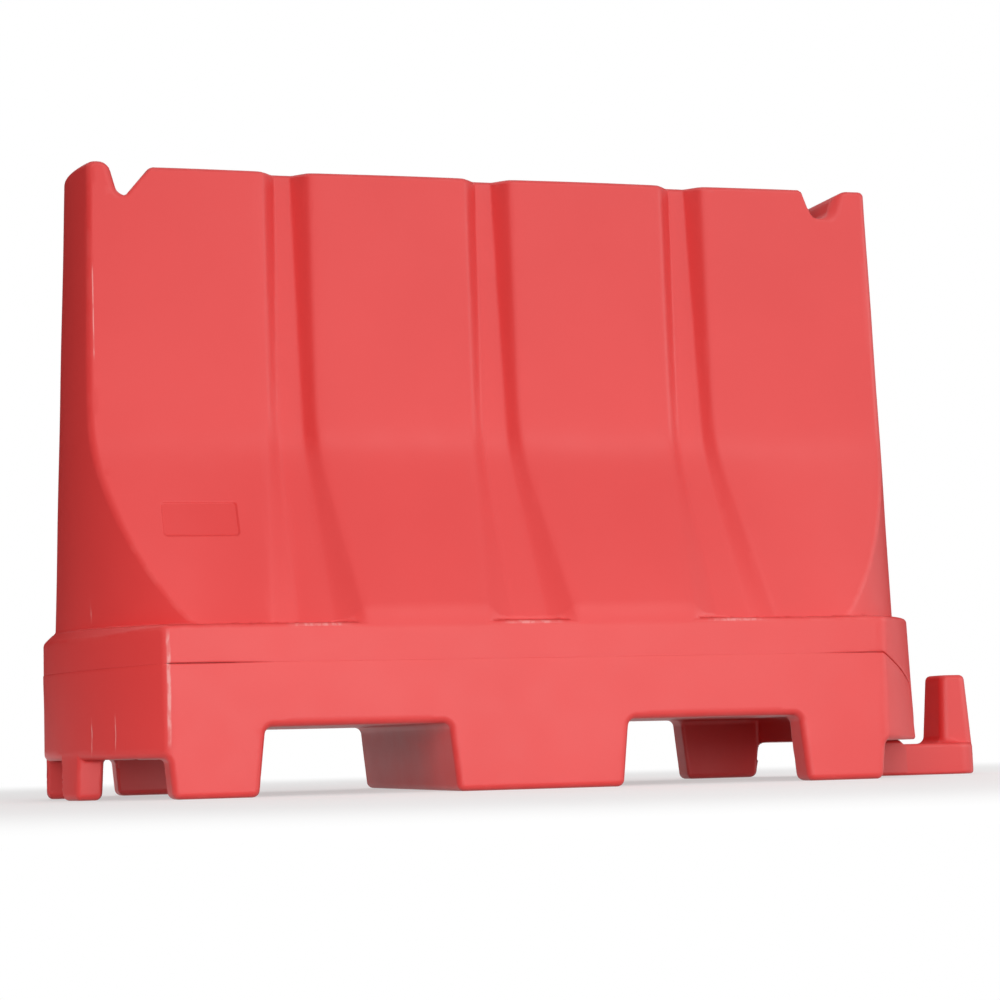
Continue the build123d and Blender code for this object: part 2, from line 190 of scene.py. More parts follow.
class Graph(Tree):
    """A material's node tree, with short calls for the nodes that the finishes use."""

    def __init__(self, name: str) -> None:
        """Starts an empty material.

        Args:
            name: the material's name.
        """
        self.material = bpy.data.materials.new(name)
        self.material.use_nodes = True
        super().__init__(self.material.node_tree)
        self.nodes.clear()
        self.place = self.add("ShaderNodeTexCoord").outputs["Object"]

    def span(self, value: object, low: float, high: float, to_low: float = 0, to_high: float = 1) -> Socket:
        """A value mapped smoothly from one range to another and held there."""
        inputs = {"Value": value, "From Min": low, "From Max": high, "To Min": to_low, "To Max": to_high}
        return self.add("ShaderNodeMapRange", inputs, interpolation_type="SMOOTHSTEP").outputs[0]

    def noise(self, scale: float, detail: float = 2.0, stretch: Triple = (1, 1, 1)) -> Socket:
        """Noise of a scale per metre on the object's own coordinates, stretched along its axes."""
        mapped = self.add("ShaderNodeMapping", {"Vector": self.place, "Scale": stretch}).outputs[0]
        return self.add("ShaderNodeTexNoise", {"Vector": mapped, "Scale": scale, "Detail": detail}).outputs[0]

    def mix(self, factor: object, a: object, b: object) -> Socket:
        """Mix of two colours.

        Args:
            factor: share of the second one.
            a: the first one.
            b: the second one.

        Returns:
            The mixed colour.
        """
        node = self.add("ShaderNodeMix", {0: factor}, data_type="RGBA")
        self.feed(node.inputs[6], a)
        self.feed(node.inputs[7], b)
        return node.outputs[2]

    def attribute(self, name: str) -> Socket:
        """A number that the mesh carries at each point."""
        return self.add("ShaderNodeAttribute", attribute_name=name).outputs["Fac"]

    def bump(self, height: object, depth: float, below: object = None) -> Socket:
        """Normal of a fine relief.

        Args:
            height: its height, from 0 to 1.
            depth: its full depth in metres.
            below: the normal that it lies on, if any.

        Returns:
            The normal.
        """
        node = self.add("ShaderNodeBump", {"Height": height, "Strength": 1.0, "Distance": depth})
        if below is not None:
            self.feed(node.inputs["Normal"], below)
        return node.outputs[0]

    def surface(self, shader: bpy.types.Node) -> Material:
        """Puts a shader on the material's output and returns the material."""
        self.add("ShaderNodeOutputMaterial", {"Surface": shader.outputs[0]})
        return self.material

    def plastic(self, tone: Socket, rough: Socket, relief: Socket, shine: float = 0.5) -> Material:
        """The material with a plain plastic or rubber surface.

        Args:
            tone: its colour.
            rough: its roughness.
            relief: its normal.
            shine: level of its gloss.

        Returns:
            The material.
        """
        inputs = {"Base Color": tone, "Roughness": rough, "Normal": relief, "Specular IOR Level": shine}
        return self.surface(self.add("ShaderNodeBsdfPrincipled", inputs))


@dataclass(frozen=True)
class ScuffAndHighlight:
    """A pale mark on the moulding, running upwards: a hairline or rub mark, or a painted highlight on a
    rounded edge. Metres.

    Attributes:
        x: its place along the barrier.
        y: its place front to back.
        low: its lower end.
        high: its upper end.
        width: half its width.
        wander: how far it strays sideways.
        strength: how pale it is, from 0 to 1.
        fade: the length over which its ends fade out.
    """

    x: float
    y: float
    low: float
    high: float
    width: float
    wander: float
    strength: float
    fade: float = 0.02


@dataclass(frozen=True)
class MouldedRed:
    """Satin red polyethylene out of a rotational mould: mottled, faintly grained, paler on its convex edges,
    which is partly rubbed wear and partly painted highlight, with pale scuffs and painted highlight streaks.
    """

    colour: Colour = (0.73, 0.050, 0.048, 1)
    deep: Colour = (0.705, 0.045, 0.043, 1)
    # pale tone of the flecks, and of the convex edges, where it is partly rubbed wear and partly painted
    # highlight
    rubbed: Colour = (0.82, 0.16, 0.15, 1)
    pale: Colour = (0.92, 0.58, 0.55, 1)
    stippled: Colour = (0.68, 0.034, 0.032, 1)
    roughness: float = 0.45
    shine: float = 0.60
    clouds: float = 4.5  # per metre, as are the next three
    patches: float = 38.0
    smears: float = 26.0
    flecks: float = 900.0
    peel: Pair = (210.0, 0.00008)  # waves per metre and their depth, as in the stipple
    stipple: Pair = (1400.0, 0.00002)
    scuffs_and_highlights: tuple[ScuffAndHighlight, ...] = ()

    def scuff_and_highlight_mask(self, graph: Graph) -> Socket | float:
        """Mask of all the pale marks, 1 where the plastic is rubbed white and where a highlight is painted
        on.

        Args:
            graph: the material's node tree.

        Returns:
            The mask.
        """
        x, y, z = graph.add("ShaderNodeSeparateXYZ", {0: graph.place}).outputs
        wobble = graph.math("SUBTRACT", graph.noise(30.0, 3.0, (0.05, 0.05, 1.0)), 0.5)
        broken = graph.span(graph.noise(170.0, 3.0, (1.0, 1.0, 0.35)), 0.38, 0.62)
        total: Socket | float = 0.0
        for mark in self.scuffs_and_highlights:
            sideways = graph.math("MULTIPLY_ADD", wobble, mark.wander, x)
            across = graph.math("ABSOLUTE", graph.math("SUBTRACT", sideways, mark.x))
            line = graph.span(across, mark.width * 0.35, mark.width, 1.0, 0.0)
            off = graph.math("ABSOLUTE", graph.math("SUBTRACT", y, mark.y))
            near = graph.span(off, 0.03, 0.06, 1.0, 0.0)
            rise = graph.span(z, mark.low, mark.low + mark.fade)
            fall = graph.span(z, mark.high - mark.fade, mark.high, 1.0, 0.0)
            length = graph.math("MULTIPLY", rise, fall)
            shape = graph.math("MULTIPLY", graph.math("MULTIPLY", line, near), length)
            flaking = graph.math("MULTIPLY_ADD", broken, mark.strength * 0.7, mark.strength * 0.3)
            total = graph.math("MAXIMUM", total, graph.math("MULTIPLY", shape, flaking))
        return total

    def material(self, name: str) -> Material:
        """The finish as a Blender material.

        Args:
            name: the material's name.

        Returns:
            The material.
        """
        graph = Graph(name)
        cloud = graph.span(graph.noise(self.clouds, 3.0), 0.30, 0.70)
        body = graph.mix(cloud, self.deep, self.colour)
        fleck = graph.span(graph.noise(self.flecks, 2.0), 0.62, 0.78, 0.0, 0.10)
        body = graph.mix(fleck, body, self.rubbed)
        # convex edges made paler: partly rubbed wear, partly a painted highlight along the edges
        edge = graph.span(graph.attribute("bend"), 0.55, 1.0)
        patchy = graph.span(graph.noise(self.patches, 4.0), 0.42, 0.66, 0.0, 0.14)
        body = graph.mix(graph.math("MULTIPLY", edge, patchy), body, self.rubbed)
        body = graph.mix(graph.math("MULTIPLY", graph.attribute("pad"), 0.8), body, self.stippled)
        # pale marks: rubbed scuffs and hairlines, and painted highlights on the left upright edge and on the
        # ledge rims at the flutes' feet
        scuff_and_highlight = self.scuff_and_highlight_mask(graph)
        body = graph.mix(scuff_and_highlight, body, self.pale)
        smear = graph.noise(self.smears, 4.0)
        rough = graph.span(smear, 0.3, 0.7, self.roughness - 0.015, self.roughness + 0.015)
        rough = graph.math("MULTIPLY_ADD", scuff_and_highlight, 0.2, rough)
        peel = graph.bump(graph.noise(self.peel[0], 2.0), self.peel[1])
        relief = graph.bump(graph.noise(self.stipple[0], 1.0), self.stipple[1], peel)
        return graph.plastic(body, rough, relief, self.shine)


@dataclass(frozen=True)
class BlackMoulding:
    """Injection-moulded black plastic with a fine spark-eroded grain, greyer on its rubbed edges."""

    colour: Colour = (0.020, 0.020, 0.022, 1)
    rubbed: Colour = (0.075, 0.075, 0.080, 1)
    roughness: float = 0.44
    uneven: Pair = (0.06, 0.10)  # how far the roughness falls and rises
    clouds: float = 60.0  # per metre, as are the next two
    patches: float = 140.0
    smears: float = 85.0
    grain: Pair = (1900.0, 0.00004)  # waves per metre and their depth

    def material(self, name: str) -> Material:
        """The finish as a Blender material.

        Args:
            name: the material's name.

        Returns:
            The material.
        """
        graph = Graph(name)
        cloud = graph.span(graph.noise(self.clouds, 4.0), 0.4, 0.75, 0.0, 0.35)
        patchy = graph.span(graph.noise(self.patches, 3.0), 0.35, 0.7)
        edge = graph.math("MULTIPLY", graph.span(graph.attribute("bend"), 0.3, 1.0), patchy)
        tone = graph.mix(graph.math("MAXIMUM", cloud, edge), self.colour, self.rubbed)
        smooth, dull = self.roughness - self.uneven[0], self.roughness + self.uneven[1]
        rough = graph.span(graph.noise(self.smears, 3.0), 0.3, 0.7, smooth, dull)
        relief = graph.bump(graph.noise(self.grain[0], 2.0), self.grain[1])
        return graph.plastic(tone, rough, relief)


@dataclass(frozen=True)
class SealRubber:
    """Matt black sealing rubber with a dusty bloom."""

    colour: Colour = (0.012, 0.012, 0.013, 1)
    bloom: Colour = (0.060, 0.058, 0.055, 1)
    roughness: float = 0.78
    uneven: float = 0.08  # how far the roughness falls and rises
    dust: float = 220.0  # per metre, as are the smears
    smears: float = 300.0
    grain: Pair = (1500.0, 0.00005)  # waves per metre and their depth

    def material(self, name: str) -> Material:
        """The finish as a Blender material.

        Args:
            name: the material's name.

        Returns:
            The material.
        """
        graph = Graph(name)
        dust = graph.span(graph.noise(self.dust, 5.0), 0.45, 0.75, 0.0, 0.6)
        tone = graph.mix(dust, self.colour, self.bloom)
        smooth, dull = self.roughness - self.uneven, self.roughness + self.uneven
        rough = graph.span(graph.noise(self.smears, 2.0), 0.3, 0.7, smooth, dull)
        relief = graph.bump(graph.noise(self.grain[0], 3.0), self.grain[1])
        return graph.plastic(tone, rough, relief)


@dataclass
class Mesher:
    """Turns a distance form into an even mesh of quads on its surface.

    Attributes:
        form: distance in millimetres, below zero inside.
        reach: step of the numeric slopes.
        sharpness: what brings the bending of a moulded edge to about 1.
        flattest: least squared slope by which a step onto the surface is divided.
        longest: the longest such step.
        evening: share of the way to its neighbours' middle that a point is moved.
    """

    form: Field
    reach: float = 0.4
    sharpness: float = 7.0
    flattest: float = 0.05
    longest: float = 4.0
    evening: float = 0.6

    def at(self, points: Array) -> Array:
        """Distances at points, one row each."""
        return self.form(points[:, 0], points[:, 1], points[:, 2])

    def slope(self, points: Array) -> Array:
        """Gradients of the distance at points.

        Args:
            points: rows of three coordinates.

        Returns:
            One gradient for each.
        """
        rows = []
        for axis in range(3):
            shift = np.zeros(3)
            shift[axis] = self.reach
            rows.append((self.at(points + shift) - self.at(points - shift)) / (2 * self.reach))
        return np.stack(rows, axis=1)

    def normals(self, points: Array) -> Array:
        """Outward unit normals at points."""
        slope = self.slope(points)
        return slope / np.maximum(np.linalg.norm(slope, axis=1, keepdims=True), 1e-9)

    def bending(self, points: Array, reach: float = 4.0) -> Array:
        """How sharply the surface is bent at points: up to 1 on outer edges, down to -1 in inner corners.

        Args:
            points: rows of three coordinates.
            reach: how far round each point is looked.

        Returns:
            One number for each.
        """
        total = -6 * self.at(points)
        for axis, sign in product(range(3), (-1, 1)):
            shift = np.zeros(3)
            shift[axis] = sign * reach
            total += self.at(points + shift)
        return np.clip(total / reach**2 * self.sharpness, -1, 1)

    def project(self, points: Array, rounds: int = 3) -> Array:
        """Points brought onto the surface along the slope.

        Args:
            points: rows of three coordinates.
            rounds: how often they are moved.

        Returns:
            The new points.
        """
        for _ in range(rounds):
            slope = self.slope(points)
            size = np.maximum((slope**2).sum(axis=1), self.flattest)
            step = np.clip(self.at(points) / size, -self.longest, self.longest)
            points = points - slope * step[:, None]
        return points

    def net(self, axes: Sequence[Array]) -> tuple[Array, Array]:
        """One point in each grid cell that the surface crosses, and a quad across each crossed grid edge.

        Args:
            axes: the grid's places along X, Y and Z.

        Returns:
            The points, and the quads as rows of four point numbers.
        """
        xs, ys, zs = axes
        values = self.form(xs[:, None, None], ys[None, :, None], zs[None, None, :])
        inside = values < 0
        count = np.zeros([n - 1 for n in inside.shape], np.int8)
        for i, j, k in product((0, 1), repeat=3):
            count += inside[i:i + count.shape[0], j:j + count.shape[1], k:k + count.shape[2]]
        cells = np.argwhere((count > 0) & (count < 8))
        number = np.full(count.shape, -1, np.int64)
        number[tuple(cells.T)] = np.arange(len(cells))
        total, hits = np.zeros((len(cells), 3)), np.zeros(len(cells))
        for axis, a, b in product(range(3), (0, 1), (0, 1)):
            start = np.zeros(3, int)
            start[(axis + 1) % 3], start[(axis + 2) % 3] = a, b
            end = start.copy()
            end[axis] = 1
            first, last = values[tuple((cells + start).T)], values[tuple((cells + end).T)]
            crossed = (first < 0) != (last < 0)
            share = np.where(crossed, first / np.where(crossed, first - last, 1), 0)
            low = np.stack([axes[n][cells[:, n] + start[n]] for n in range(3)], axis=1)
            high = np.stack([axes[n][cells[:, n] + end[n]] for n in range(3)], axis=1)
            total += np.where(crossed[:, None], low + share[:, None] * (high - low), 0)
            hits += crossed
        quads = []
        for axis in range(3):
            u, v = (axis + 1) % 3, (axis + 2) % 3
            low = [slice(None)] * 3
            high = [slice(None)] * 3
            low[axis], high[axis] = slice(None, -1), slice(1, None)
            edges = np.argwhere(inside[tuple(low)] != inside[tuple(high)])
            room = (edges[:, u] > 0) & (edges[:, v] > 0)
            room &= (edges[:, u] < inside.shape[u] - 1) & (edges[:, v] < inside.shape[v] - 1)
            edges = edges[room]
            ring = []
            for du, dv in ((-1, -1), (0, -1), (0, 0), (-1, 0)):
                cell = edges.copy()
                cell[:, u] += du
                cell[:, v] += dv
                ring.append(number[tuple(cell.T)])
            quad = np.stack(ring, axis=1)
            outward = inside[tuple(edges.T)]
            quads.append(np.where(outward[:, None], quad, quad[:, ::-1]))
        return total / hits[:, None], np.concatenate(quads)

    def skin(self, axes: Sequence[Array], rounds: int = 3) -> tuple[Array, Array]:
        """The form's surface as points and quads, evened out along itself.

        Args:
            axes: the grid's places along X, Y and Z.
            rounds: how often it is evened out.

        Returns:
            The points and the quads.
        """
        points, quads = self.net(axes)
        points = self.project(points)
        pairs = np.concatenate([quads[:, [n, (n + 1) % 4]] for n in range(4)])
        degree = np.bincount(pairs.ravel(), minlength=len(points))
        for _ in range(rounds):
            middle = np.zeros_like(points)
            for axis in range(3):
                middle[:, axis] = np.bincount(pairs[:, 0], points[pairs[:, 1], axis], len(points))
                middle[:, axis] += np.bincount(pairs[:, 1], points[pairs[:, 0], axis], len(points))
            points = self.project(points + self.evening * (middle / degree[:, None] - points), 2)
        return points, quads


def steps(low: float, high: float, size: float) -> Array:
    """Evenly spaced places from low to high, about a size apart."""
    return np.linspace(low, high, max(2, int(round((high - low) / size)) + 1))


def points_of(mesh: Mesh) -> Array:
    """A mesh's points as rows of three numbers.

    Args:
        mesh: the mesh.

    Returns:
        The rows.
    """
    flat = np.zeros(len(mesh.vertices) * 3)
    mesh.vertices.foreach_get("co", flat)
    return flat.reshape(-1, 3)


def plain_mesh(name: str, points: Array, faces: Array) -> Mesh:
    """A smooth-shaded mesh from points and faces.

    Args:
        name: the mesh's name.
        points: rows of coordinates.
        faces: rows of point numbers.

    Returns:
        The mesh.
    """
    mesh = bpy.data.meshes.new(name)
    mesh.from_pydata(points.tolist(), [], faces.tolist())
    mesh.polygons.foreach_set("use_smooth", np.ones(len(mesh.polygons), bool))
    return mesh


def dress_bends(mesh: Mesh, mesher: Mesher, skin: Array) -> None:
    """Gives a mesh in millimetres the form's exact normals, and each point's bending as an attribute.

    Args:
        mesh: the mesh.
        mesher: the form that it lies on.
        skin: True for the points that lie on the form's surface.
    """
    points = points_of(mesh)
    bend = mesh.attributes.new("bend", "FLOAT", "POINT")
    bends = np.where(skin, mesher.bending(points), HIDDEN_BEND)
    bend.data.foreach_set("value", bends.astype(np.float32))
    flat = np.zeros(len(mesh.vertices) * 3)
    mesh.vertices.foreach_get("normal", flat)
    normals = np.where(skin[:, None], mesher.normals(points), flat.reshape(-1, 3))
    mesh.normals_split_custom_set_from_vertices(normals.tolist())


def ring_mesh(name: str, outline: Sequence[Pair], soft: float, around: int = 96) -> Mesh:
    """A ring turned about Z, with the corners of its section rounded.

    Args:
        name: the mesh's name.
        outline: the section's corners as radius and height, in order, the solid on the left.
        soft: how much of each side a rounded corner takes.
        around: number of steps round the ring.

    Returns:
        The mesh, with its bending as an attribute.
    """
    corners = np.array(outline, float)
    flat, bent = CORNER_BENDS
    places, slopes, bends = [], [], []
    for before, corner, after in zip(np.roll(corners, 1, 0), corners, np.roll(corners, -1, 0)):
        back, ahead = np.linalg.norm(before - corner), np.linalg.norm(after - corner)
        reach = min(soft, CORNER_SHARE * back, CORNER_SHARE * ahead)
        start = corner + (before - corner) / back * reach
        end = corner + (after - corner) / ahead * reach
        for t in CORNER_STEPS:
            places.append((1 - t) ** 2 * start + 2 * t * (1 - t) * corner + t * t * end)
            along = (1 - t) * (corner - start) + t * (end - corner)
            slopes.append((along[1], -along[0]) / np.linalg.norm(along))
            bends.append(bent if 0 < t < 1 else flat)
    count = len(places)
    turns = np.linspace(0, 2 * math.pi, around, endpoint=False)
    points = np.array([(r * math.cos(a), r * math.sin(a), z) for a in turns for r, z in places])
    normals = np.array([(u * math.cos(a), u * math.sin(a), v) for a in turns for u, v in slopes])
    rows = np.arange(around * count).reshape(around, count)
    later, beside = np.roll(rows, -1, 0), np.roll(rows, -1, 1)
    faces = np.stack([rows, later, np.roll(later, -1, 1), beside], axis=2).reshape(-1, 4)
    mesh = plain_mesh(name, points, faces)
    bend = mesh.attributes.new("bend", "FLOAT", "POINT")
    bend.data.foreach_set("value", np.tile(bends, around).astype(np.float32))
    mesh.normals_split_custom_set_from_vertices(normals.tolist())
    return mesh


class Pattern(Tree):
    """A Geometry Nodes tree with named sizes, which grows a repeated or winding form."""

    bar_sides: int = 10
    bar_tip: float = 0.002  # what is left of a bar at its very ends

    def __init__(self, name: str, sizes: dict[str, float | int]) -> None:
        """Starts a tree.

        Args:
            name: the tree's name.
            sizes: its named inputs and their values.
        """
        self.group = bpy.data.node_groups.new(name, "GeometryNodeTree")
        super().__init__(self.group)
        self.group.interface.new_socket("Geometry", in_out="OUTPUT", socket_type="NodeSocketGeometry")
        self.values: dict[str, float | int] = {}
        for label, value in sizes.items():
            kind = "NodeSocketInt" if isinstance(value, int) else "NodeSocketFloat"
            entry = self.group.interface.new_socket(label, in_out="INPUT", socket_type=kind)
            self.values[entry.identifier] = value
        self.sizes = self.add("NodeGroupInput").outputs

    def swept(self, path: Socket, width: object, taper: float) -> Socket:
        """A round bar along a path, drawn in at both ends.

        Args:
            path: the path.
            width: the bar's width.
            taper: the share of the path at each end over which it is drawn in.

        Returns:
            The bar's mesh.
        """
        share = self.add("GeometryNodeSplineParameter").outputs["Factor"]
        middle = self.math("SUBTRACT", 0.5, self.math("ABSOLUTE", self.math("SUBTRACT", share, 0.5)))
        drawn = self.math("DIVIDE", self.math("ADD", middle, self.bar_tip), taper)
        full = self.math("SQRT", self.math("MINIMUM", drawn, 1.0))
        thick = self.add("GeometryNodeSetCurveRadius", {"Curve": path, "Radius": full}).outputs[0]
        circle = {"Resolution": self.bar_sides, "Radius": self.math("MULTIPLY", width, 0.5)}
        ring = self.add("GeometryNodeCurvePrimitiveCircle", circle).outputs[0]
        bar = self.add("GeometryNodeCurveToMesh", {"Curve": thick, "Profile Curve": ring, "Fill Caps": True})
        if "Scale" in bar.inputs:
            self.feed(bar.inputs["Scale"], full)
        return bar.outputs[0]

    def grown(self, form: Socket, material: Material) -> Mesh:
        """Ends the tree with a form and a material, and makes a plain mesh of it.

        Args:
            form: the form's geometry.
            material: its finish.

        Returns:
            The mesh.
        """
        real = self.add("GeometryNodeRealizeInstances", {"Geometry": form}).outputs[0]
        smooth = self.add("GeometryNodeSetShadeSmooth", {0: real}).outputs[0]
        coated = self.add("GeometryNodeSetMaterial", {"Geometry": smooth, "Material": material}).outputs[0]
        self.add("NodeGroupOutput", {0: coated})
        holder = bpy.data.objects.new(self.group.name, bpy.data.meshes.new(self.group.name))
        bpy.context.scene.collection.objects.link(holder)
        modifier = holder.modifiers.new("grow", "NODES")
        modifier.node_group = self.group
        for key, value in self.values.items():
            modifier[key] = value
        seen = holder.evaluated_get(bpy.context.evaluated_depsgraph_get())
        mesh = bpy.data.meshes.new_from_object(seen)
        empty = holder.data
        bpy.data.objects.remove(holder)
        bpy.data.meshes.remove(empty)
        return mesh


def show(name: str, mesh: Mesh, body: str, material: Material, node: str = "") -> None:
    """Puts a mesh in metres into the scene on a body.

    Args:
        name: the piece's name.
        mesh: its mesh.
        body: the body that it rides on.
        material: its finish.
        node: the node that it stands for, if any.
    """
    piece = bpy.data.objects.new(name, mesh)
    bpy.context.scene.collection.objects.link(piece)
    mesh.materials.clear()
    mesh.materials.append(material)
    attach(piece, body)
    if node:
        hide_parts(node)
    LOG.info("%s: %d faces on %s", name, len(mesh.polygons), body)


@dataclass
class WallForm:
    """The flared wall above the ledge, with its flutes, notches and filler well. Millimetres."""

    ledge: float = 214.0
    crease: float = 453.0
    top: float = 817.0
    half: Triple = (219.5, 100.0, 86.0)  # at the ledge, the crease and the top
    foot_spread: float = 33.0  # how much further the flare stands out at its foot between the ends
    foot_fade: Pair = (240.0, 440.0)  # between these places along the barrier the spread runs out
    foot_reach: float = 22.0  # how much wider the rounded ends may be where the foot is spread
    foot_sink: float = 20.0  # how far the wall runs down into the base
    collar: Pair = (250.0, 2.0)  # half width at the floor and what it loses up to the ledge
    collar_swell: Triple = (0.3, 197.0, 211.0)  # what it gains under the ledge, and between which heights
    collar_bend: float = 10.0  # softness of the bend between flare and collar
    crease_soft: float = 32.0
    end_centre: float = 338.0
    end_radius: float = 240.0
    end_draft: float = 0.0297
    corner: Triple = (2.5, 7.0, 6.0)
    flute_pitch: float = 277.0
    flute_shift: float = -6.0
    flute_mouth: Triple = (118.0, 62.0, 58.0)
    flute_floor: Triple = (43.0, 34.0, 22.0)
    flute_depth: Triple = (18.0, 11.0, 22.0)
    flute_edge: Triple = (5.0, 5.0, 5.5)  # softness of the mouth's edges
    flute_corner: Triple = (3.0, 3.0, 1.6)  # softness of the floor's edges
    flute_scoop: Triple = (1.35, 1.1, 1.0)  # 1 for straight sides, more for hollowed ones
    notch_lips: Pair = (-462.0, 450.0)
    notch_slant: Pair = (33.0, 15.0)  # left and right, as are the next three
    notch_floor: Pair = (8.0, 22.0)
    notch_rise: Pair = (11.0, 15.0)
    notch_corner: Pair = (2.0, 9.0)
    notch_depth: float = 40.0
    notch_root: float = 12.0  # rounding between the floor and the rise
    lip_edge: float = 4.0  # rounding of the notches' lips
    lip_left: Triple = (7.0, 494.0, 508.0)  # what the left one gains, and between which places
    lip_right: Triple = (13.0, 474.0, 500.0)
    horn_crown: Triple = (-531.0, 26.0, 5.5)  # its middle, spread and rise
    end_edge: Pair = (8.0, 7.0)  # rounding of the top at the left and the right end
    well_place: float = 138.5
    well_radius: float = 56.0
    well_depth: float = 22.0
    well_edge: float = 4.0
    bore_radius: float = 36.3
    bore_depth: float = 80.0
    panel_place: float = -415.0
    panel_height: float = 351.0
    panel_half: Pair = (48.0, 25.0)
    panel_stretch: float = 1.12  # the panel's height is measured up the lean of the flare
    panel_corner: float = 5.0
    panel_edge: Pair = (-1.8, 1.2)  # where its sunk edge starts and ends
    panel_depth: float = 1.6

    def along(self, z: Array, sizes: Triple) -> Array:
        """A size that changes with height, with a soft bend at the crease.

        Args:
            z: heights.
            sizes: its values at the ledge, the crease and the top.

        Returns:
            The size at each height.
        """
        foot, middle, head = sizes
        t = z - self.crease
        root = np.sqrt(t * t + self.crease_soft**2)
        above = (head - middle) / (self.top - self.crease)
        below = (foot - middle) / (self.crease - self.ledge)
        return middle + above * (t + root) / 2 + below * (root - t) / 2

    def flutes(self, x: Array, z: Array) -> Array:
        """How far the three flutes of each side draw the surface in.

        Args:
            x: places along the barrier.
            z: heights.

        Returns:
            The depths.
        """
        run = x - self.flute_shift
        off = np.abs(run - self.flute_pitch * np.clip(np.round(run / self.flute_pitch), -1, 1))
        sizes = (
            self.flute_mouth, self.flute_floor, self.flute_depth,
            self.flute_edge, self.flute_corner, self.flute_scoop,
        )
        mouth, floor, depth, edge, corner, scoop = (self.along(z, s) for s in sizes)
        side = (mouth - floor) / 2
        share = (mouth / 2 - off) / side
        share = (np.hypot(share, edge / side) - np.hypot(share - 1, corner / side) + 1) / 2
        return depth * (1 - np.clip(1 - share, 0, 1) ** scoop)

    def notches(self, x: Array, z: Array) -> Array:
        """Distance to the slanted notches across the top.

        Args:
            x: places along the barrier.
            z: heights.

        Returns:
            The distance, below zero inside.
        """
        result = np.full(np.broadcast(x, z).shape, 1e3)
        sizes = (self.notch_lips, self.notch_slant, self.notch_floor, self.notch_rise, self.notch_corner)
        for sign, lip, slant, floor, rise, corner in zip((-1, 1), *sizes):
            run = sign * x - abs(lip)
            drop = self.top - z
            width = slant + floor + rise
            slant, rise = slant / self.notch_depth, rise / self.notch_depth
            inner = (drop * slant - run) / math.hypot(1, slant)
            outer = (run - width + drop * rise) / math.hypot(1, rise)
            notch = round_meet(round_meet(outer, drop - self.notch_depth, self.notch_root), inner, corner)
            result = np.minimum(result, notch)
        return result

    def panel(self, x: Array, y: Array, z: Array) -> Array:
        """How far the shallow bare panel on the front draws the surface in.

        Args:
            x: places along the barrier.
            y: places front to back.
            z: heights.

        Returns:
            The depths.
        """
        height = (z - self.panel_height) * self.panel_stretch
        edge = rounded_box(x - self.panel_place, height, *self.panel_half, self.panel_corner)
        return np.where(y < 0, self.panel_depth * (1 - ease(edge, *self.panel_edge)), 0)

    def distance(self, x: Array, y: Array, z: Array) -> Array:
        """Distance to the wall's surface.

        Args:
            x: places along the barrier.
            y: places front to back.
            z: heights.

        Returns:
            The distance, below zero inside.
        """
        inner = 1 - ease(np.abs(x), *self.foot_fade)
        face = self.along(z, self.half) + inner * self.along(z, (self.foot_spread, 0.0, 0.0))
        hollow = self.flutes(x, z)
        across = self.flutes(x + 1, z) - hollow
        slope = np.hypot(1, self.along(z + 1, self.half) - self.along(z, self.half))
        width, loss = self.collar
        swell, low, high = self.collar_swell
        collar = np.abs(y) - width + loss * z / self.ledge - swell * ease(z, low, high)
        body = round_meet((np.abs(y) - face) / slope, collar, self.collar_bend)
        body = (body * slope + hollow) / np.hypot(slope, across)
        body = round_meet(body, self.ends(x, y, z, inner), self.along(z, self.corner))
        body = np.maximum(body, self.ledge - self.foot_sink - z)
        body = round_cut(body, self.notches(x, z), self.lips(x))
        around = np.hypot(x - self.well_place, y)
        well = np.maximum(around - self.well_radius, self.top - self.well_depth - z)
        body = round_cut(body, well, self.well_edge)
        body = np.maximum(body, -np.maximum(around - self.bore_radius, self.top - self.bore_depth - z))
        return body + self.panel(x, y, z)

    def ends(self, x: Array, y: Array, z: Array, inner: Array) -> Array:
        """Distance to the rounded ends and the top.

        Args:
            x: places along the barrier.
            y: places front to back.
            z: heights.
            inner: how far the foot is spread there, from 0 to 1.

        Returns:
            The distance, below zero inside.
        """
        radius = self.end_radius - (z - self.ledge) * self.end_draft + self.foot_reach * inner
        end = np.hypot(np.maximum(np.abs(x) - self.end_centre, 0), y) - radius
        middle, spread, rise = self.horn_crown
        top = z - self.top - rise * np.exp(-((x - middle) / spread) ** 2)
        return round_meet(end, top, np.where(x < 0, *self.end_edge))

    def lips(self, x: Array) -> Array:
        """Rounding of the notches' lips, which grows toward the ends.

        Args:
            x: places along the barrier.

        Returns:
            The radii.
        """
        gains = (self.lip_left, self.lip_right)
        left, right = (gain * ease(np.abs(x), low, high) for gain, low, high in gains)
        return self.lip_edge + np.where(x < 0, left, right)


